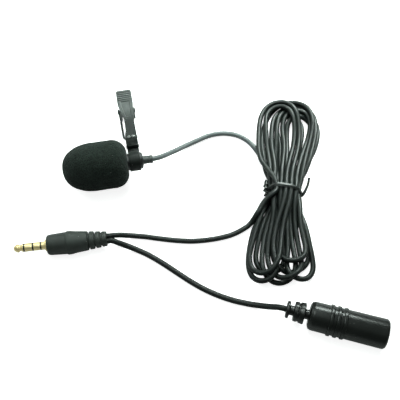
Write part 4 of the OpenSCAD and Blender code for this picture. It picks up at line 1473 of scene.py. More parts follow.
@dataclass
class SplitCord(Cord):
    """The short cord from the plug's strain relief to the socket."""

    diameter: float = 2.4
    middle: list = field(
        default_factory=lambda: [
            (0.6, -48.9, 4.1), (3.6, -50.1, 2.8), (7, -51.7, 1.7), (10.5, -53.8, 1.1),
            (14, -56.5, 1.1), (18.5, -60.5, 1.1), (23.4, -65.2, 1.1), (28.5, -70, 1.1),
            (33.6, -74.2, 1.1), (39, -77.8, 1.1), (44.6, -80.8, 1.1), (49.5, -82.8, 1.1),
            (53.5, -84.4, 1.9), (57.6, -86.2, 3.6),
        ]
    )

    def build(self) -> bpy.types.Object:
        """Lays the cord and makes its jacket."""
        start = [relief_end(-1), relief_end(-1, 2.0)]
        end = placed(AT_SOCKET, [(-2.6, 0, 0), (0.6, 0, 0)])
        self.path = spline(np.vstack([start, self.middle, end]), self.ring_step)
        self.path[:, 2] = np.maximum(self.path[:, 2], self.diameter / 2)
        return self.jacket("split_cord_jacket", JACKET, ("split_cord",))

    def declare(self, piece: bpy.types.Object, fittings: Sequence[bpy.types.Object]) -> None:
        """Says what the cord is."""
        LOG.info("split cord: %.3f m", self.length(3))
        self.length(3)


@dataclass
class TwistTie:
    """A flat tie of film over a wire, wrapped round the hank's waist and twisted.

    Attributes:
        gap: Between the tie and the strands.
        strand: The cord's radius.
        foot: Where the tie's middle lies at the table, along the hank.
        lean: How far the tie leans along the hank as it rises.
        knot_turns: Turns that its two ends make about each other.
        knot_half: Half the knot's length.
        knot_bow: How far the knot bulges from the hank.
        knot_swing: How far its two strands lie from its middle.
        knot_strand: Width and thickness of each strand.
    """

    width: float = 2.0
    thick: float = 0.6
    gap: float = 0.08
    strand: float = 1.15
    foot: float = -1.5
    lean: float = 0.24
    knot_turns: float = 1.5
    knot_half: float = 3.6
    knot_bow: float = 0.5
    knot_swing: float = 0.55
    knot_strand: tuple[float, float] = (1.9, 1.05)

    def _wrap(self, hank: np.ndarray) -> np.ndarray:
        """The loop round the strands at the tie, as (x, z) points."""
        spots = []
        for a, b in zip(hank, hank[1:]):
            if (a[1] > 0) != (b[1] > 0) and abs(a[1] - b[1]) > 1e-6:
                t = a[1] / (a[1] - b[1])
                spots.append((a + (b - a) * t)[[0, 2]])
        reach = self.strand + self.gap
        around = np.linspace(0, 2 * math.pi, 24, endpoint=False)
        ring = np.c_[np.cos(around), np.sin(around)] * reach
        cloud = (np.array(spots)[:, None, :] + ring[None]).reshape(-1, 2)
        cloud[:, 1] = np.maximum(cloud[:, 1], 0.15)
        order = cloud[np.lexsort((cloud[:, 1], cloud[:, 0]))]

        def half(points: np.ndarray) -> list:
            """One half of the points' convex outline."""
            made: list = []
            for q in points:
                while len(made) > 1:
                    a, b = made[-1] - made[-2], q - made[-2]
                    if a[0] * b[1] - a[1] * b[0] > 0:
                        break
                    made.pop()
                made.append(q)
            return made[:-1]

        outline = np.array(half(order) + half(order[::-1]))
        loop = np.vstack([outline, outline[:1]])
        flat = even(np.c_[loop, np.zeros(len(loop))], 0.35)[:-1, :2]
        for _ in range(6):
            flat = (np.roll(flat, 1, 0) + 2 * flat + np.roll(flat, -1, 0)) / 4
        return flat

    def _band(self, loop: np.ndarray) -> Shape:
        """A closed band along the loop, with its wire standing out along its middle."""
        ahead = np.roll(loop, -1, 0) - np.roll(loop, 1, 0)
        out = np.c_[ahead[:, 1], -ahead[:, 0]]
        out /= np.linalg.norm(out, axis=1)[:, None]
        half, t = self.width / 2, self.thick
        section = [(-half, 0.1), (-half + 0.1, 0.0), (half - 0.1, 0.0), (half, 0.1),
                   (half - 0.1, t * 0.4), (0.6, t * 0.5), (0.42, t * 0.85), (0.15, t),
                   (-0.15, t), (-0.42, t * 0.85), (-0.6, t * 0.5), (-half + 0.1, t * 0.4)]
        points = []
        for (x, z), (nx, nz) in zip(loop, out):
            middle = self.foot + self.lean * z
            for across, up in section:
                points.append((x + nx * up, middle + across, max(0.02, z + nz * up)))
        return Shape(np.array(points), ring_faces(len(loop), len(section), True))

    @staticmethod
    def _ribbon(path: np.ndarray, twist: float, width: float, thick: float) -> Shape:
        """A flat strip along a path, turned about it as it goes."""
        points, m = [], 8
        for i, (c, side, up) in enumerate(frames(path)):
            a = twist * 2 * math.pi * i / (len(path) - 1)
            s, u = side * math.cos(a) + up * math.sin(a), up * math.cos(a) - side * math.sin(a)
            for k in range(m):
                b = 2 * math.pi * k / m
                points.append(c + s * math.cos(b) * width / 2 + u * math.sin(b) * thick / 2)
        last = (len(path) - 1) * m
        ends = [tuple(range(m)), tuple(range(last, last + m))[::-1]]
        return Shape(np.array(points), ends + ring_faces(len(path), m))

    def build(self, hank: np.ndarray) -> list[bpy.types.Object]:
        """Makes the wrap, its twisted knot and its two ends."""
        loop = self._wrap(hank)
        left, right = float(loop[:, 0].min()), float(loop[:, 0].max())
        height = float(loop[np.argmin(loop[:, 0]), 1])
        start = np.array([left + 0.1, -self.knot_half, height + 0.4])
        end = np.array([left - 0.3, self.knot_half, height + 0.4])
        share = np.linspace(0, 1, 44)
        core = start + (end - start) * share[:, None]
        core[:, 0] -= self.knot_bow * np.sin(math.pi * share)
        core[:, 2] += self.knot_bow * np.sin(math.pi * share)
        strands = []
        for phase in (0.0, math.pi):
            a = phase + self.knot_turns * 2 * math.pi * share
            swing = self.knot_swing * np.c_[np.cos(a), np.zeros(len(a)), np.sin(a)]
            strands.append(self._ribbon(core + swing, self.knot_turns, *self.knot_strand))
        low = [(left + 0.2, -3.2, height + 0.3), (left + 0.5, -4.2, height - 0.6),
               (left + 0.3, -5.2, 1.6)]
        tail = [(right - 0.4, -1.2, 3.0), (right + 0.5, -1.3, 3.2), (right + 1.4, -0.2, 4.0),
                (right + 2.3, 1.9, 4.9), (right + 2.9, 4.2, 5.6), (right + 3.1, 6.4, 5.9)]
        strands.append(self._ribbon(spline(np.array(low), 0.3), 0.2, 1.5, 0.7))
        tip = self._ribbon(spline(np.array(tail), 0.3), 0.15, 1.6, 1.15)
        return [
            add_piece(name, shape.mesh(name, AT_HANK), TIE, Body.MICROPHONE, nodes, angle)
            for name, shape, nodes, angle in (
                ("tie_wrap", self._band(loop), ("twist_tie",), 30),
                ("tie_knot", Shape.joined(strands), (), 50),
                ("tie_end", tip, ("tie_tail",), 50),
            )
        ]


# ---------------------------------------------------------------- microphone


@dataclass
class Windscreen:
    """The hollow egg of foam.

    Attributes:
        nose: Length of the rounded front.
        tail: Length of the rounded rear.
        fullness: 1 for an elliptic front and less for a blunter one.
        rear: Where its flat rear face lies.
        mouth: How far the pocket's lip is rounded.
        cell: Size of a pore, in metres.
        depth: Depth of a pore, in metres.
        lump: Height of its slow bumps, in metres.
        lump_size: Size of its slow bumps, in metres.
    """

    length: float = 28.5
    diameter: float = 21.4
    rear_diameter: float = 9.6
    nose: float = 14.0
    tail: float = 6.6
    fullness: float = 0.80
    rear: float = -3.2
    pocket_radius: float = 3.73
    pocket_end: float = -18.6
    mouth: float = 0.7
    segments: int = 372
    cell: float = 0.00072
    depth: float = 0.00022
    lump: float = 0.0005
    lump_size: float = 0.009
    seed: float = 3.0

    def profile(self) -> list[Point]:
        """The line that is turned, as (radius, x, share of the pores)."""
        front = self.rear - self.length
        line: list[tuple[float, float]] = []
        for a in np.radians(np.linspace(0.4, 90, 118)):
            r = self.diameter / 2 * math.sin(a) ** self.fullness
            line.append((r, front + self.nose * (1 - math.cos(a))))
        straight = self.length - self.nose - self.tail
        for t in np.linspace(0, 1, 17)[1:-1]:
            line.append((self.diameter / 2, front + self.nose + straight * t))
        drop = (self.diameter - self.rear_diameter) / 2
        for a in np.radians(np.linspace(0, 90, 58)):
            x = self.rear - self.tail + self.tail * math.sin(a)
            line.append((self.rear_diameter / 2 + drop * math.cos(a), x))
        skin = [(r, x, 1.0) for r, x in [(0.0, front), *line]]
        face = np.linspace(self.rear_diameter / 2, self.pocket_radius + self.mouth * 0.6, 4)[1:]
        skin += [(float(r), self.rear, 0.8) for r in face]
        for a in np.radians((30, 60, 90)):
            r = self.pocket_radius + self.mouth * 0.6 * (1 - math.sin(a))
            skin.append((r, self.rear - self.mouth * (1 - math.cos(a)), 0.3))
        for x in np.linspace(self.rear - 1.4, self.pocket_end, 12):
            skin.append((self.pocket_radius, float(x), 0.0))
        skin.append((0.0, self.pocket_end, 0.0))
        return skin

    def build(self) -> bpy.types.Object:
        """Makes the foam with its pores."""
        line = self.profile()
        shape = lathe([(r, x) for r, x, _ in line], self.segments)
        mesh = bpy.data.meshes.new("foam")
        mesh.from_pydata((shape.points * MM).tolist(), [], shape.faces)
        skin = mesh.attributes.new("skin", "FLOAT", "POINT")
        skin.data.foreach_set("value", np.repeat([s for _, _, s in line], self.segments))
        close(mesh)
        made = through(
            mesh, PATTERNS.pores, AT_MIC, cell_size=self.cell, depth=self.depth,
            lump_size=self.lump_size, lump=self.lump, seed=self.seed, material=FOAM.build())
        piece = add_piece("foam_egg", made, FOAM, Body.WINDSCREEN, ("foam_windscreen",), 180)
        return piece


@dataclass
class MicHead:
    """The barrel, its grille and what closes it at the cord.

    Attributes:
        front: Where the barrel ends at the grille.
        rear: Where the barrel ends at the cap.
        grille: The grille's thickness.
        hole: Radius of a sound hole.
        ring: Radius of the ring of sound holes.
        flange: Where the cap ends.
        collar: Length of the collar beyond the cap.
    """

    barrel_radius: float = 3.7
    bore_radius: float = 3.0
    front: float = -16.8
    rear: float = 2.6
    grille: float = 1.2
    hole: float = 0.5
    ring: float = 2.0
    edge: float = 0.18
    flange: float = 3.8
    collar_radius: float = 1.85
    collar: float = 4.3

    def build(self) -> None:
        """Makes the turned pieces and dresses the inner ones."""
        add = self._turned
        r, b = self.barrel_radius, self.bore_radius
        tube_line = [(b, self.front), (r, self.front), (r, self.rear), (b, self.rear)]
        wall = closed_line(tube_line, self.edge)
        add("barrel_tube", wall, ANODISED, "mic_barrel", closed=True)
        cap = [(0, self.rear), (r, self.rear), (r, self.rear + 0.4), (r - 0.35, self.rear + 0.95),
               (r - 0.9, self.flange - 0.15), (2.5, self.flange), (1.6, self.flange),
               (0, self.flange - 0.02)]
        add("end_cap", rounded(cap, self.edge), ANODISED, "rear_cap")
        add("cord_boot", rounded(self._collar(), 0.14), COLLAR, "cord_collar")
        self._grille()
        for name, finish in (
            ("dust_felt", FELT), ("electret_capsule", CAN), ("capsule_boot", BOOT),
            ("capsule_board", BOARD), ("signal_wire", RED_WIRE), ("ground_wire", WHITE_WIRE),
            ("cord_crimp", STEEL),
        ):
            dress_node(name, finish)

    def _collar(self) -> Profile:
        """The line of the collar round the cord, with its two shallow rings."""
        f, c, n = self.flange, self.collar_radius, self.collar
        return [(0, f - 1.0), (1.5, f - 1.0), (1.5, f), (c, f), (c, f + 1.3), (c - 0.12, f + 1.4),
                (c - 0.12, f + 1.7), (c, f + 1.8), (c, f + 2.6), (c - 0.12, f + 2.7),
                (c - 0.12, f + 3.0), (c, f + 3.1), (c, f + n - 0.3), (c - 0.35, f + n),
                (1.25, f + n), (1.2, f + n - 0.3), (0, f + n - 0.3)]

    @staticmethod
    def _turned(name: str, line: Profile, finish: Finish, node: str, closed: bool = False) -> None:
        """Adds one turned piece."""
        mesh = lathe(line, FINE, closed).mesh(name, AT_MIC)
        add_piece(name, mesh, finish, Body.MICROPHONE, (node,))

    def _grille(self) -> None:
        """The front plate, pierced by sound holes."""
        r, b, f = self.barrel_radius, self.bore_radius, self.front
        line = [(0, f - self.grille), (r - 0.4, f - self.grille), (r, f - self.grille + 0.4),
                (r, f), (b, f), (b, f + 1.0), (0, f + 1.0)]
        mesh = lathe(rounded(line, 0.12)).moved(shifted(-f, 0, 0)).mesh("grille", Matrix())
        made = through(
            mesh, PATTERNS.sieve, AT_MIC @ shifted(f, 0, 0), hole_radius=self.hole * MM,
            ring_radius=self.ring * MM, count=6, depth=0.006, material=ANODISED.build())
        add_piece("sound_grille", made, ANODISED, Body.MICROPHONE, ("front_grille",), 30)


# ---------------------------------------------------------------------- clip


@dataclass
class Sheet:
    """A stamped and bent strip of metal, as a field of heights over a grid.

    Attributes:
        bends: The strip's lower side from the side, as (y, z).
        half: The half width at y.
        slot: A window (x half, y start, y end), if it has one.
        relief: How far the upper face is sunk at (x, y).
        thick: The sheet's thickness.
        edge: How far its edges are rounded.
        near: Where further lines of the grid lie, beside each edge.
        row: Distance between two rows of the grid.
        columns: Faces across the grid.
        bend_radius: How far each bend is rounded.
    """

    bends: Profile
    half: Callable[[float], float]
    slot: tuple[float, float, float] | None = None
    relief: Callable[[float, float], float] | None = None
    thick: float = 0.7
    edge: float = 0.16
    near: tuple[float, ...] = (0.0, 0.04, 0.09, 0.16)
    row: float = 0.16
    columns: int = 46
    bend_radius: float = 1.2

    def _edge_drop(self, x: float, y: float, ends: tuple[float, float]) -> float:
        """How far the rounded edge falls below the face."""
        gap = min(self.half(y) - abs(x), y - ends[0], ends[1] - y)
        if self.slot:
            wide, low, high = self.slot
            out = max(abs(x) - wide, low - y, y - high)
            gap = min(gap, max(out, 0.0))
        if gap >= self.edge:
            return 0.0
        far = 1 - max(gap, 0.0) / self.edge
        return self.edge * (1 - math.sqrt(max(0.0, 1 - far * far)))

    def _rows(self) -> tuple[np.ndarray, np.ndarray]:
        """The grid's rows: their y and the height of the lower side."""
        line = np.array(rounded(self.bends, self.bend_radius, 8), float)
        low, high = line[0, 0], line[-1, 0]
        rows = set(np.linspace(low, high, int((high - low) / self.row) + 1))
        for y in (low, high) + ((self.slot[1], self.slot[2]) if self.slot else ()):
            rows |= {y + s * d for s in (-1, 1) for d in self.near}
        ys = np.array(sorted(y for y in rows if low <= y <= high))
        ys = ys[np.r_[True, np.diff(ys) > 0.015]]
        ys[-1] = high
        return ys, np.interp(ys, line[:, 0], line[:, 1])

    def _columns(self) -> np.ndarray:
        """The grid's columns, as shares of the half width."""
        base = set(np.linspace(-1, 1, self.columns + 1))
        wide = self.half(0.5 * (self.slot[1] + self.slot[2])) if self.slot else 3.0
        marks = [1.0] + ([self.slot[0] / wide] if self.slot else [])
        for m in marks:
            for d in self.near:
                both = (m - d / wide, m + d / wide)
                base |= {s * v for s in (-1, 1) for v in both if v <= 1}
        us = np.array(sorted(base))
        us = us[np.r_[True, np.diff(us) > 0.006]]
        us[-1] = 1.0
        return us

    def shape(self) -> Shape:
        """Makes the strip, walls and all."""
        ys, zs = self._rows()
        us = self._columns()
        ends = (ys[0], ys[-1])
        tops, lows = [], []
        for y, z in zip(ys, zs):
            wide = self.half(y)
            for u in us:
                x = u * wide
                drop = self._edge_drop(x, y, ends)
                sunk = self.relief(x, y) if self.relief else 0.0
                tops.append((x, y, z + self.thick - drop - sunk))
                lows.append((x, y, z + drop))
        n, rows = len(us), len(ys)
        solid = np.ones((rows - 1, n - 1), bool)
        if self.slot:
            wide, low, high = self.slot
            for i in range(rows - 1):
                y = 0.5 * (ys[i] + ys[i + 1])
                x = 0.5 * np.abs(us[1:] + us[:-1]) * self.half(y)
                solid[i] = ~((x < wide) & (low < y < high))
        count = rows * n
        faces = []
        for i in range(rows - 1):
            for j in range(n - 1):
                if not solid[i, j]:
                    continue
                a, b, c, d = i * n + j, i * n + j + 1, (i + 1) * n + j + 1, (i + 1) * n + j
                faces += [(a, b, c, d), (d + count, c + count, b + count, a + count)]
                for p, q, di, dj in ((a, b, -1, 0), (b, c, 0, 1), (c, d, 1, 0), (d, a, 0, -1)):
                    k, m = i + di, j + dj
                    if not (0 <= k < rows - 1 and 0 <= m < n - 1) or not solid[k, m]:
                        faces.append((q, p, p + count, q + count))
        return Shape(np.array(tops + lows), faces)


def through_points(y: float, table: Profile) -> float:
    """A value read off a table of (y, value), eased between its entries."""
    if y <= table[0][0]:
        return table[0][1]
    for (y0, v0), (y1, v1) in zip(table, table[1:]):
        if y <= y1:
            t = (y - y0) / (y1 - y0)
            return v0 + (v1 - v0) * t * t * (3 - 2 * t)
    return table[-1][1]


@dataclass
class Clip:
    """The spring clip: ring, back frame, pin, spring and toothed jaw.

    Places along Y are measured from the microphone's axis.

    Attributes:
        sheet: The metal's thickness.
        grip: From the clip's middle plane to the back of a rubber grip.
        cover_half: Half the width of the rubber over the front jaw.
        arm_end: Where the lever's arm turns into its pad.
        sway: How far the frame's middle is bowed to one side.
        pad_rise: Height of the pad's far end over the middle plane.
        ear_x: Where an ear's inner face lies.
        ear: An ear's thickness.
        wire: Radius of the spring's wire.
    """

    ring_inner: float = 3.73
    ring_outer: float = 4.28
    ring_half: float = 2.4
    sheet: float = 0.7
    grip: float = 0.8
    teeth: int = 6
    ribs: int = 5
    jaw_start: float = 8.0
    jaw_end: float = 14.2
    jaw_half: float = 2.5
    cover_half: float = 2.72
    arm_end: float = 24.2
    frame_half: float = 3.3
    sway: float = 0.5
    pivot_y: float = 30.4
    clip_end: float = 37.4
    pad_rise: float = 6.3
    ear_x: float = 3.25
    ear: float = 0.6
    pin_radius: float = 0.75
    pin_head: float = 1.1
    wire: float = 0.25
    coils: int = 4
    coil_radius: float = 1.35
    coil_pitch: float = 0.62
    leg_reach: float = 7.0
    leg_rise: float = 4.0

    def _frame_half(self, y: float) -> float:
        """Half the width of the back frame at y."""
        end, half = self.clip_end, self.frame_half
        table = [(13.6, self.jaw_half), (15.2, half), (end - 0.7, half), (end, half - 0.5)]
        return through_points(y, table)

    def _frame(self) -> None:
        """The back frame with its window and ears."""
        bends = [(5.9, -1.5), (14.2, -1.5), (24.2, -3.4), (30.4, -4.7), (37.4, -6.3)]
        sheet = Sheet(bends, self._frame_half, (2.3, 15.4, 31.2))
        p, outer = self.pivot_y, self.ear_x + self.ear
        ear = [(p - 1.2, -4.65), (p + 1.4, -5.2), (p + 1.2, -2.8), (p + 1.45, -0.6),
               (p + 1.45, 0.5), (p + 0.9, 1.1), (p, 1.4), (p - 0.9, 1.1), (p - 1.45, 0.5),
               (p - 1.45, -0.6), (p - 1.0, -2.8)]
        strip = sheet.shape()
        y = strip.points[:, 1]
        strip.points[:, 0] -= self.sway * np.clip(np.minimum(y - 14.2, 29.4 - y) / 2.0, 0, 1)
        ears = [plate(ear, *x, 0.12) for x in ((-outer, -self.ear_x), (self.ear_x, outer))]
        shelf = [(p + 0.9, -4.4), (p + 2.4, -4.7), (p + 2.4, -5.3), (p + 0.9, -5.0)]
        bridge = plate(shelf, -outer + 0.05, outer - 0.05, 0.1)
        curl = [(0, -3.2), (0.36, -3.2), (0.36, 3.2), (0, 3.2)]
        roll = lathe(rounded(curl, 0.1), COARSE).moved(shifted(0, self.clip_end - 0.05, -5.95))
        mesh = Shape.joined([strip, *ears, bridge, roll]).mesh("back_frame", AT_JAWS)
        add_piece("back_frame", mesh, ENAMEL, Body.CLIP, ("clip_frame",))

    def _ring(self) -> None:
        """The holder ring with the tongue that the rivet holds."""
        a, b, h = self.ring_inner, self.ring_outer, self.ring_half
        ring = lathe(closed_line([(a, -h), (b, -h), (b, h), (a, h)], 0.2), 80, True)
        tongue = plate([(b - 0.5, -0.8), (7.7, -0.8), (7.7, 0.0), (b - 0.5, 0.0)], -2.6, 2.6, 0.12)
        mesh = Shape.joined([ring, tongue]).mesh("ring_band", AT_CLIP)
        add_piece("ring_band", mesh, LACQUER, Body.CLIP, ("holder_ring",))

    def _rivet(self, radius: float, low: float, high: float, x: float, y: float) -> Shape:
        """A rivet with a domed head on each side, standing on Z."""
        head = radius + 0.3
        line = [(0, low - 0.28), (head * 0.7, low - 0.24), (head, low), (radius, low),
                (radius, high), (head, high), (head * 0.75, high + 0.3), (0, high + 0.38)]
        stood = lathe(rounded(line, 0.12), 28)
        return stood.moved(shifted(x, y, 0) @ turned("Y", -90))

    def _jaw(self, name: str, node: str, body: Body, up: bool) -> None:
        """One toothed rubber grip."""
        y0, y1, half = self.jaw_start, self.jaw_end, self.jaw_half
        s = 1.0 if up else -1.0
        base = [(y0, s * 0.5), (y1, s * 0.5), (y1, s * self.grip), (y0, s * self.grip)]
        block = plate(base, -half, half, 0.08)
        tooth = plate([(0.0, s * 0.06), (0.28, s * 0.06), (0.92, s * 0.56), (0.0, s * 0.56)],
                      -half, half, 0.06)
        first, step = AT_JAWS @ shifted(0, y0 + 0.04, 0), (y1 - y0 - 0.2) / self.teeth
        teeth = row_of(tooth, first, self.teeth, (0.0, step, 0.0), GRIP)
        solids = [block.mesh("block", AT_JAWS), teeth]
        if up:
            solids += self._cover()
        add_piece(name, joined_mesh(name, solids), GRIP, body, (node,))

    def _cover(self) -> list[bpy.types.Mesh]:
        """The rubber over the jaw's back, with its fine cross ribs."""
        half, low, high = self.cover_half, self.jaw_start, self.jaw_end - 1.7
        sleeve = plate([(low, 1.42), (high, 1.42), (high, 1.72), (low, 1.72)], -half, half, 0.1)
        rib = plate([(0.0, 1.66), (0.42, 1.66), (0.34, 1.86), (0.08, 1.86)], -half, half, 0.05)
        first, step = AT_JAWS @ shifted(0, low + 0.2, 0), (high - low - 0.4) / self.ribs
        ribs = row_of(rib, first, self.ribs, (0.0, step, 0.0), GRIP)
        return [sleeve.mesh("sleeve", AT_JAWS), ribs]

    def _spring(self) -> None:
        """The torsion spring round the pin, with a leg under each pad."""
        half = self.coils * self.coil_pitch / 2
        reach, rise = self.leg_reach, self.leg_rise
        wrap = math.acos(self.coil_radius / math.hypot(reach, rise)) + math.atan(rise / reach)
        sweep = 2 * math.pi * self.coils - 2 * wrap
        line = [(half, reach, -rise)]
        count = self.coils * 28
        for i in range(count + 1):
            a = -wrap - sweep * i / count
            x = half - 2 * half * i / count
            line.append((x, self.coil_radius * math.cos(a), self.coil_radius * math.sin(a)))
        line.append((-half, reach, rise))
        mesh = bpy.data.meshes.new("spring")
        edges = [(i, i + 1) for i in range(len(line) - 1)]
        mesh.from_pydata([tuple(v * MM for v in p) for p in line], edges, [])
        made = through(
            mesh, PATTERNS.wire, AT_JAWS @ shifted(0, self.pivot_y, 0), radius=self.wire * MM,
            sides=10, material=SPRING.build())
        made.name = "spring_coil"
        smooth(made, 50)
        coil = bpy.data.objects.new("spring_coil", made)
        bpy.context.scene.collection.objects.link(coil)
        ends = placed(AT_JAWS, [(0, self.pivot_y, -1.6), (0, self.pivot_y, 1.6)]) * MM
        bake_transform(coil)
        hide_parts("torsion_spring")
        LOG.info("spring_coil: %d faces", len(made.polygons))

    def build(self) -> None:
        """Makes every piece that the ring carries."""
        self._frame()
        self._ring()
        self._jaw("back_teeth", "back_jaw_grip", Body.CLIP, False)
        rivet = self._rivet(0.5, -1.5, 0.0, 0.0, SEAT_Y)
        add_piece("seat_rivet", rivet.mesh("r", AT_CLIP), LACQUER, Body.CLIP, ("holder_rivet",))
        end, r, h = self.ear_x + self.ear, self.pin_radius, self.pin_head
        half = [(r, end), (h, end), (h, end + 0.12), (h - 0.2, end + 0.38), (0, end + 0.42)]
        pin = [(a, -x) for a, x in half[::-1]] + half
        axle = lathe(rounded(pin, 0.1), 32).moved(shifted(0, self.pivot_y, 0))
        add_piece("axle_pin", axle.mesh("p", AT_JAWS), RIVET, Body.CLIP, ("pivot_pin",))
        self._spring()


@dataclass
class ThumbLever(Clip):
    """The front half: jaw, narrow arm and ridged thumb pad.

    Attributes:
        arm_sway: How far the arm is bowed to one side.
        wing_half: Half the width over the two wings that hold the pin.
        lip_half: Half the width of the jaw's lip.
        arm_rise: Height of the arm's end over the middle plane.
        flange: A wing's thickness.
        panel: Depth of the sunk panel below the ridges.
    """

    arm_half: float = 2.2
    pad_half: float = 3.6
    arm_sway: float = 0.4
    wing_half: float = 3.1
    lip_half: float = 2.9
    arm_rise: float = 2.9
    flange: float = 0.6
    ridges: int = 5
    ridge_pitch: float = 0.95
    ridge_radius: float = 0.36
    panel: float = 0.32

    def _half(self, y: float) -> float:
        """Half the width of the lever at y."""
        table = [(14.0, self.jaw_half + 0.2), (17.0, self.arm_half + 0.1), (22.4, self.arm_half),
                 (27.0, self.wing_half), (31.0, self.pad_half), (36.5, self.pad_half),
                 (37.4, self.pad_half - 0.5)]
        return through_points(y, table)

    @property
    def _slope(self) -> float:
        """How steeply the pad rises along Y."""
        return (self.pad_rise - self.arm_rise) / (self.clip_end - self.arm_end)

    def _height(self, y: float) -> float:
        """Height of the pad's lower side at y."""
        return self.arm_rise + self._slope * (y - self.arm_end)

    def _sunk(self, x: float, y: float) -> float:
        """Depth of the tapered panel below the ridges."""
        start, end = self.arm_end - 0.4, self.arm_end + 7.6
        t = (y - start) / (end - start)
        wide = 1.4 + 0.85 * min(1.0, max(0.0, t))
        gap = min(wide - abs(x), y - start, end - y)
        s = min(1.0, max(0.0, gap / 0.22))
        return self.panel * s * s * (3 - 2 * s)

    def build(self) -> None:
        """Makes the lever and what rides on it."""
        bends = [(7.9, 0.8), (14.2, 0.8), (24.2, 2.9), (37.4, 6.3)]
        strip = Sheet(bends, self._half, None, self._sunk).shape()
        y = strip.points[:, 1]
        strip.points[:, 0] += self.arm_sway * np.clip(np.minimum(y - 13.6, 29.0 - y) / 4.0, 0, 1)
        lip = [(7.6, 0.1), (8.0, 0.1), (8.02, 1.78), (7.85, 1.8), (7.6, 1.5)]
        parts = [strip, plate(lip, -self.lip_half, self.lip_half, 0.09)]
        p, outer = self.pivot_y, self.wing_half
        h = self._height
        wing = [(27.3, h(27.3) + 0.25), (27.9, 2.3), (p - 1.6, -0.5), (p - 1.4, -1.05),
                (p - 0.8, -1.35), (p + 0.8, -1.35), (p + 1.5, -1.05), (p + 1.9, -0.5),
                (34.8, 4.4), (36.3, h(36.3) + 0.25)]
        for x0, x1 in ((-outer + 0.02, -outer + self.flange), (outer - self.flange, outer - 0.02)):
            parts.append(plate(wing, x0, x1, 0.1))
        body = Shape.joined(parts).mesh("lever", AT_JAWS)
        merged = joined_mesh("lever_arm", [body, self._ridge_mesh()])
        add_piece("lever_arm", merged, LEVER_PAINT, Body.LEVER, ("thumb_lever",))
        self._jaw("front_teeth", "front_jaw_grip", Body.LEVER, True)
        for side, name in ((-1, "left"), (1, "right")):
            shape = self._rivet(0.5, 0.55, 1.5, side * 1.0, self.jaw_end - 0.9)
            mesh = shape.mesh(name, AT_JAWS)
            add_piece(f"{name}_rivet_head", mesh, RIVET, Body.LEVER, (f"{name}_jaw_rivet",))

    def _ridge_mesh(self) -> bpy.types.Mesh:
        """The finger ridges, in a row down the pad."""
        length, r = self.pad_half - 0.35, self.ridge_radius
        line = [(0, -length), (r, -length), (r, length), (0, length)]
        ridge = lathe(rounded(line, 0.2, 5), COARSE)
        top = self.clip_end - 0.9
        first = AT_JAWS @ shifted(0, top, self._height(top) + self.sheet - 0.12)
        step = (0.0, -self.ridge_pitch, -self.ridge_pitch * self._slope)
        return row_of(ridge, first, self.ridges, step, LEVER_PAINT)


def joined_mesh(name: str, meshes: Sequence[bpy.types.Mesh]) -> bpy.types.Mesh:
    """Several placed meshes as one."""
    work = bmesh.new()
    for mesh in meshes:
        work.from_mesh(mesh)
    made = bpy.data.meshes.new(name)
    work.to_mesh(made)
    work.free()
    return made


# ---------------------------------------------------------------------- plug


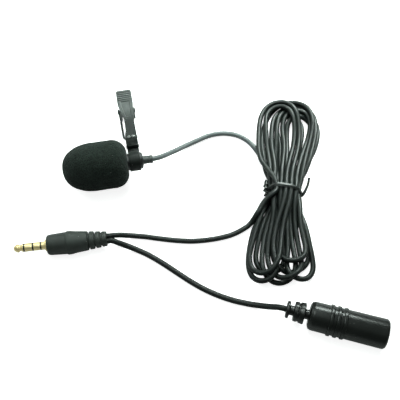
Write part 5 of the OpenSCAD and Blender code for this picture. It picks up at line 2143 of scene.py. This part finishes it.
@dataclass
class Plug:
    """The four-pole plug with its moulded grip.

    Attributes:
        core: Radius of the insulation inside the contacts.
        length: Length of the bare contacts.
        bands: Where the dark bands start, from the tip.
        band: A band's width.
        grip: Length of the grip up to its bead.
        bead: Length of the bead.
        taper: Length from the bead to the strain relief.
        relief: Length of the strain relief.
        relief_shrink: How much smaller across each of its ribs is.
    """

    radius: float = 1.75
    core: float = 1.1
    length: float = 14.0
    bands: tuple[float, float, float] = (4.2, 7.9, 11.2)
    band: float = 0.6
    grip_radius: float = 4.7
    bead_radius: float = 5.0
    grip: float = 8.2
    bead: float = 2.6
    taper: float = 6.6
    relief: float = 7.8
    relief_ribs: int = 3
    relief_shrink: float = 0.08

    def build(self) -> list[bpy.types.Object]:
        """Makes the plug's pieces and gives them in order from the tip."""
        r, c = self.radius, self.core
        b1, b2, b3 = self.bands
        tip = [(0, 0), (0.55, 0.06), (0.95, 0.35), (1.5, 1.05), (r, 1.65), (r, 2.05), (1.28, 2.65),
               (1.2, 2.9), (1.28, 3.15), (r, 3.75), (r, b1), (0, b1)]
        made = [self._gold("tip_contact", rounded(tip, 0.22), "plug_tip")]
        w = self.band
        for name, x0, x1, node in (
            ("front_ring_contact", b1 + w, b2, "plug_ring_front"),
            ("rear_ring_contact", b2 + w, b3, "plug_ring_rear"),
        ):
            made.append(self._gold(name, self._ring(x0, x1), node, True))
        n = self.length
        sleeve = [(c, b3 + w), (r, b3 + w), (r, n - 0.85), (2.15, n - 0.75), (2.5, n - 0.45),
                  (2.5, n + 2.6), (c, n + 2.6)]
        made.append(self._gold("sleeve_contact", closed_line(sleeve, 0.1), "plug_sleeve", True))
        core = [(0, b1), (r - 0.015, b1)]
        for x in (b1, b2, b3):
            core += [(r - 0.015, x), (r - 0.015, x + w), (c + 0.05, x + w)]
            core += [] if x == b3 else [(c + 0.05, x + 3.0)]
        core += [(c + 0.05, n + 3.0), (0, n + 3.0)]
        mesh = lathe(core, 64).mesh("core", AT_PLUG)
        made.append(add_piece("plug_core", mesh, BAND, Body.MICROPHONE, ("plug_insulation",), 30))
        made += self._moulding()
        return made

    def _ring(self, x0: float, x1: float) -> Profile:
        """The closed line of one contact ring."""
        line = [(self.core, x0), (self.radius, x0), (self.radius, x1), (self.core, x1)]
        return closed_line(line, 0.08)

    @staticmethod
    def _gold(name: str, line: Profile, node: str, closed: bool = False) -> bpy.types.Object:
        """Adds one gold contact."""
        mesh = lathe(line, FINE, closed).mesh(name, AT_PLUG)
        return add_piece(name, mesh, GOLD, Body.MICROPHONE, (node,))

    def _moulding(self) -> list[bpy.types.Object]:
        """The grip, its bead and taper, and the slotted strain relief."""
        g, n = self.grip_radius, self.length
        bead_x = n + self.grip
        taper_x = bead_x + self.bead
        relief_x = taper_x + self.taper
        end = relief_x + self.relief
        b = self.bead_radius
        line = [(0, n + 0.05), (g - 1.5, n), (g - 0.75, n + 0.25), (g - 0.42, n + 0.9),
                (g - 0.3, n + 1.7), (g, bead_x), (b - 0.15, bead_x + 0.15), (b, bead_x + 0.6),
                (b, taper_x - 0.6), (b - 0.15, taper_x), (4.62, taper_x + 1.4),
                (4.22, relief_x - 1.4), (4.1, relief_x - 0.3), (3.8, relief_x), (2.9, relief_x),
                (2.7, end - 0.6), (2.45, end), (0, end)]
        mesh = lathe(rounded(line, 0.3, 5), 80).mesh("grip", AT_PLUG)
        body = add_piece("plug_moulding", mesh, MOULDING, Body.MICROPHONE, ("plug_grip",))
        step = self.relief / self.relief_ribs
        rib = [(2.0, 0.46), (3.5, 0.48), (3.86, 0.7), (3.9, 1.0), (3.76, step - 0.14),
               (3.5, step), (2.0, step)]
        ribs = row_of(
            lathe(rounded([*rib, rib[0]], 0.14), 64), AT_PLUG @ shifted(relief_x, 0, 0),
            self.relief_ribs, (step, 0.0, 0.0), MOULDING, self.relief_shrink)
        return [body, add_piece("plug_relief_ribs", ribs, MOULDING, Body.MICROPHONE)]


@dataclass
class Socket:
    """The moulded socket with three ribs, a stepped strain relief and a gold bushing.

    Attributes:
        tail: Length of the strain relief.
        length: Length of the body beyond it.
        rib_start: Where the first rib lies, from the body's start.
        bushing: The bushing's outer radius.
        hole: The hole's radius.
        neck: Radius of the strain relief between its steps.
        flare: How much wider the body is at its far end.
    """

    radius: float = 5.8
    rib_radius: float = 6.35
    tail: float = 9.2
    length: float = 31.0
    rib_start: float = 7.8
    rib_step: float = 2.7
    rib: float = 1.5
    ribs: int = 3
    bushing: float = 4.0
    hole: float = 1.81
    neck: float = 2.0
    flare: float = 0.18

    def build(self) -> list[bpy.types.Object]:
        """Makes the socket's pieces."""
        t, r, n = self.tail, self.radius, self.neck
        end = t + self.length
        shell = [(0, 0.3), (1.6, 0.0), (3.1, 0.0), (3.45, 0.25), (3.5, 1.25), (n, 1.45), (n, 3.1),
                 (3.75, 3.15), (3.95, 3.4), (4.02, 4.7), (3.72, 4.85), (3.74, 5.3), (4.1, 5.45),
                 (4.35, 7.1), (4.2, 7.45), (n, 7.55), (n, t), (r - 1.5, t), (r - 0.4, t + 0.5),
                 (r, t + 1.6), (r + self.flare, end - 0.75), (r - 0.5, end), (self.bushing, end),
                 (self.bushing, end - 1.3), (2.72, end - 1.3), (2.72, end - 6.0), (0, end - 6.0)]
        body = lathe(rounded(shell, 0.26, 5), 96)
        web = plate([(-1.6, -3.45), (1.6, -3.45), (1.6, 3.45), (-1.6, 3.45)], 3.2, 6.8, 0.2)
        mesh = Shape.joined([body, web]).mesh("socket", AT_SOCKET)
        made = [add_piece("socket_body", mesh, GLOSS, Body.MICROPHONE, ("socket_shell",))]
        rib = [(r - 0.3, -0.15), (r + 0.1, -0.05), (self.rib_radius - 0.06, 0.12),
               (self.rib_radius, 0.4), (self.rib_radius, self.rib - 0.4),
               (self.rib_radius - 0.06, self.rib - 0.12), (r + 0.1, self.rib + 0.05),
               (r - 0.3, self.rib + 0.15)]
        first = AT_SOCKET @ shifted(t + self.rib_start, 0, 0)
        one = lathe(rounded([*rib, rib[0]], 0.2, 5), 96)
        ribs = row_of(one, first, self.ribs, (self.rib_step, 0.0, 0.0), GLOSS)
        made.append(add_piece("socket_ribs", ribs, GLOSS, Body.MICROPHONE))
        b, h = self.bushing - 0.02, self.hole
        line = [(h, end - 6.2), (2.7, end - 6.2), (2.7, end - 1.4), (b, end - 1.4), (b, end),
                (h + 0.35, end), (h, end - 0.35)]
        mesh = lathe(closed_line(line, 0.12), 80, True).mesh("bushing", AT_SOCKET)
        made.append(add_piece("gold_bushing", mesh, GOLD, Body.MICROPHONE, ("socket_bushing",)))
        made.append(dress_node("socket_insert", BAND))
        for name in ("socket_tip_contact", "socket_ring_contact", "socket_mic_contact"):
            made.append(dress_node(name, GOLD))
        return made


def main() -> None:
    """Builds the model in order, the camera and the cords first."""
    logging.basicConfig(level=logging.INFO, format="%(name)s: %(message)s")
    Studio().build()
    cord, split = MainCord(), SplitCord()
    cord_piece, split_piece = cord.build(), split.build()
    tie = TwistTie().build(cord.hank)
    plug = Plug().build()
    socket = Socket().build()
    cord.declare(cord_piece, [*tie, *plug])
    split.declare(split_piece, socket)
    Windscreen().build()
    MicHead().build()
    Clip().build()
    ThumbLever().build()
    boxes = {"cad": CAD_BOX, "visual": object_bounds()}
    {k: [list(map(float, c)) for c in v] for k, v in boxes.items()}


if __name__ == "__main__":
    main()
